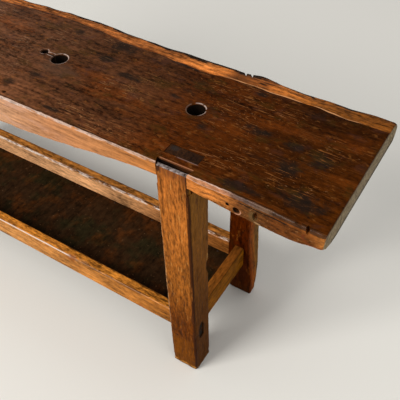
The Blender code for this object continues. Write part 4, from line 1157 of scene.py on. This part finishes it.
shelf, place, _, shader = new_finish("shelf_wood_finish")
x, y, z = place.xyz()
# Each board has its own tone and its own run of grain.
which = ((0.6507 - 0.075 - x) / 0.15324 + 1.0).math("FLOOR")
tone = which.node("ShaderNodeTexWhiteNoise", {"noise_dimensions": "1D"}, {"W": which})
shifted = place.node("ShaderNodeCombineXYZ", None, {"X": x + which * 3.7, "Y": y, "Z": z})
streaks = shifted.noise((75.0, 9.0, 75.0), 4.0, 0.7, shift=7.0)
mottle = place.noise((60.0, 45.0, 60.0), 4.0, 0.7, shift=11.0)
fibres = shifted.noise((380.0, 20.0, 380.0), 3.0, 0.6, shift=5.0)
shade = ((streaks - 0.5) * 1.8 + (mottle - 0.5) * 2.6 + tone * 0.25 + 0.9).math("MAXIMUM", 0.25)
rust = place.noise((12.0, 11.0, 12.0), 4.0, 0.65, shift=3.0)
green = place.noise((9.0, 9.0, 9.0), 3.0, 0.6, shift=23.0).between(0.45, 0.62)
dark_board = green.blend((0.026, 0.0115, 0.0044), (0.0175, 0.0125, 0.0046))
colour = (rust.between(0.5, 0.66) * 0.42).blend(dark_board, (0.088, 0.024, 0.0036)).shaded(shade)
spots = place.noise((110.0, 120.0, 110.0), 2.0, 0.6, shift=8.0).between(0.66, 0.73)
colour = (spots * 0.55).blend(colour, (0.17, 0.09, 0.042))
finished(shader, colour, 0.52, fibres * 0.5 + streaks * 0.6 + mottle * 0.4, 0.0012)
for number in range(1, 10):
    made, node = board(number)
    smooth(made)
    made.data.materials.append(shelf)
    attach(made, "root")
    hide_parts(node)

# The nails: square, forged of iron and gone dark, with small beaten heads. They hold the
# ledgers and the ends of the shelf boards.
iron, place, _, shader = new_finish("nail_iron_finish", specular=0.5)
shader.inputs["Metallic"].default_value = 0.8
pits = place.noise((900.0, 900.0, 900.0), 3.0, 0.6)
colour = pits.ramp([(0.35, (0.02, 0.014, 0.011)), (0.65, (0.075, 0.05, 0.036))])
finished(shader, colour, pits.between(0.3, 0.7, 0.55, 0.75), pits, 0.0004)
for node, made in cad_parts.items():
    if "nail" in node:
        made.material_slots[0].material = iron

# The floor is a plain pale one, lit by a large soft lamp at the front left, a weak one at
# the right and an even white sky. The camera stands where the photograph was taken.
ground = bmesh.new()
add_block(ground, (-9.0, 9.0), (-9.0, 9.0), (-0.02, 0.0))
floor = piece("floor", ground)
plain = bpy.data.materials.new("floor_paint")
plain.use_nodes = True
paint = plain.node_tree.nodes["Principled BSDF"]
paint.inputs["Base Color"].default_value = (0.8, 0.79, 0.75, 1.0)
paint.inputs["Roughness"].default_value = 0.75
paint.inputs["Specular IOR Level"].default_value = 0.2
floor.data.materials.append(plain)

world = bpy.data.worlds.new("studio")
bpy.context.scene.world = world
world.use_nodes = True
sky = world.node_tree.nodes["Background"]
sky.inputs["Color"].default_value = (1.0, 0.99, 0.97, 1.0)
sky.inputs["Strength"].default_value = 0.5


def lamp(name, place, target, size, power):
    """A square soft lamp at its place, turned to its target."""
    light = bpy.data.lights.new(name, "AREA")
    light.shape, light.size, light.energy, light.color = "SQUARE", size, power, (1.0, 0.97, 0.93)
    made = bpy.data.objects.new(name, light)
    made.location = place
    made.rotation_euler = (Vector(target) - Vector(place)).to_track_quat("-Z", "Y").to_euler()
    bpy.context.scene.collection.objects.link(made)


lamp("key_lamp", (-2.68, -5.76, 5.1), (0.4, 0.0, 0.5), 3.5, 540)
lamp("fill_lamp", (3.2, -1.0, 2.4), (0.4, 0.0, 0.5), 2.0, 16)

camera = bpy.data.objects.new("camera", bpy.data.cameras.new("camera"))
bpy.context.scene.collection.objects.link(camera)
bpy.context.scene.camera = camera
camera.data.sensor_width = 36.0
camera.data.lens = 53.02
camera.data.clip_start = 0.05
STAND = Vector((1.1766, -0.88143, 1.6029))
YAW, PITCH, ROLL = 0.5753, -0.8119, -0.0287
ahead = Vector((-math.sin(YAW) * math.cos(PITCH), math.cos(YAW) * math.cos(PITCH),
                math.sin(PITCH)))
right = ahead.cross(Vector((0.0, 0.0, 1.0))).normalized()
upward = right.cross(ahead)
tilted_right = math.cos(ROLL) * right + math.sin(ROLL) * upward
tilted_up = math.cos(ROLL) * upward - math.sin(ROLL) * right
camera.matrix_world = Matrix([(tilted_right[i], tilted_up[i], -ahead[i], STAND[i])
                              for i in range(3)] + [(0.0, 0.0, 0.0, 1.0)])
bpy.context.scene.view_settings.view_transform = "Standard"

bpy.context.view_layer.update()
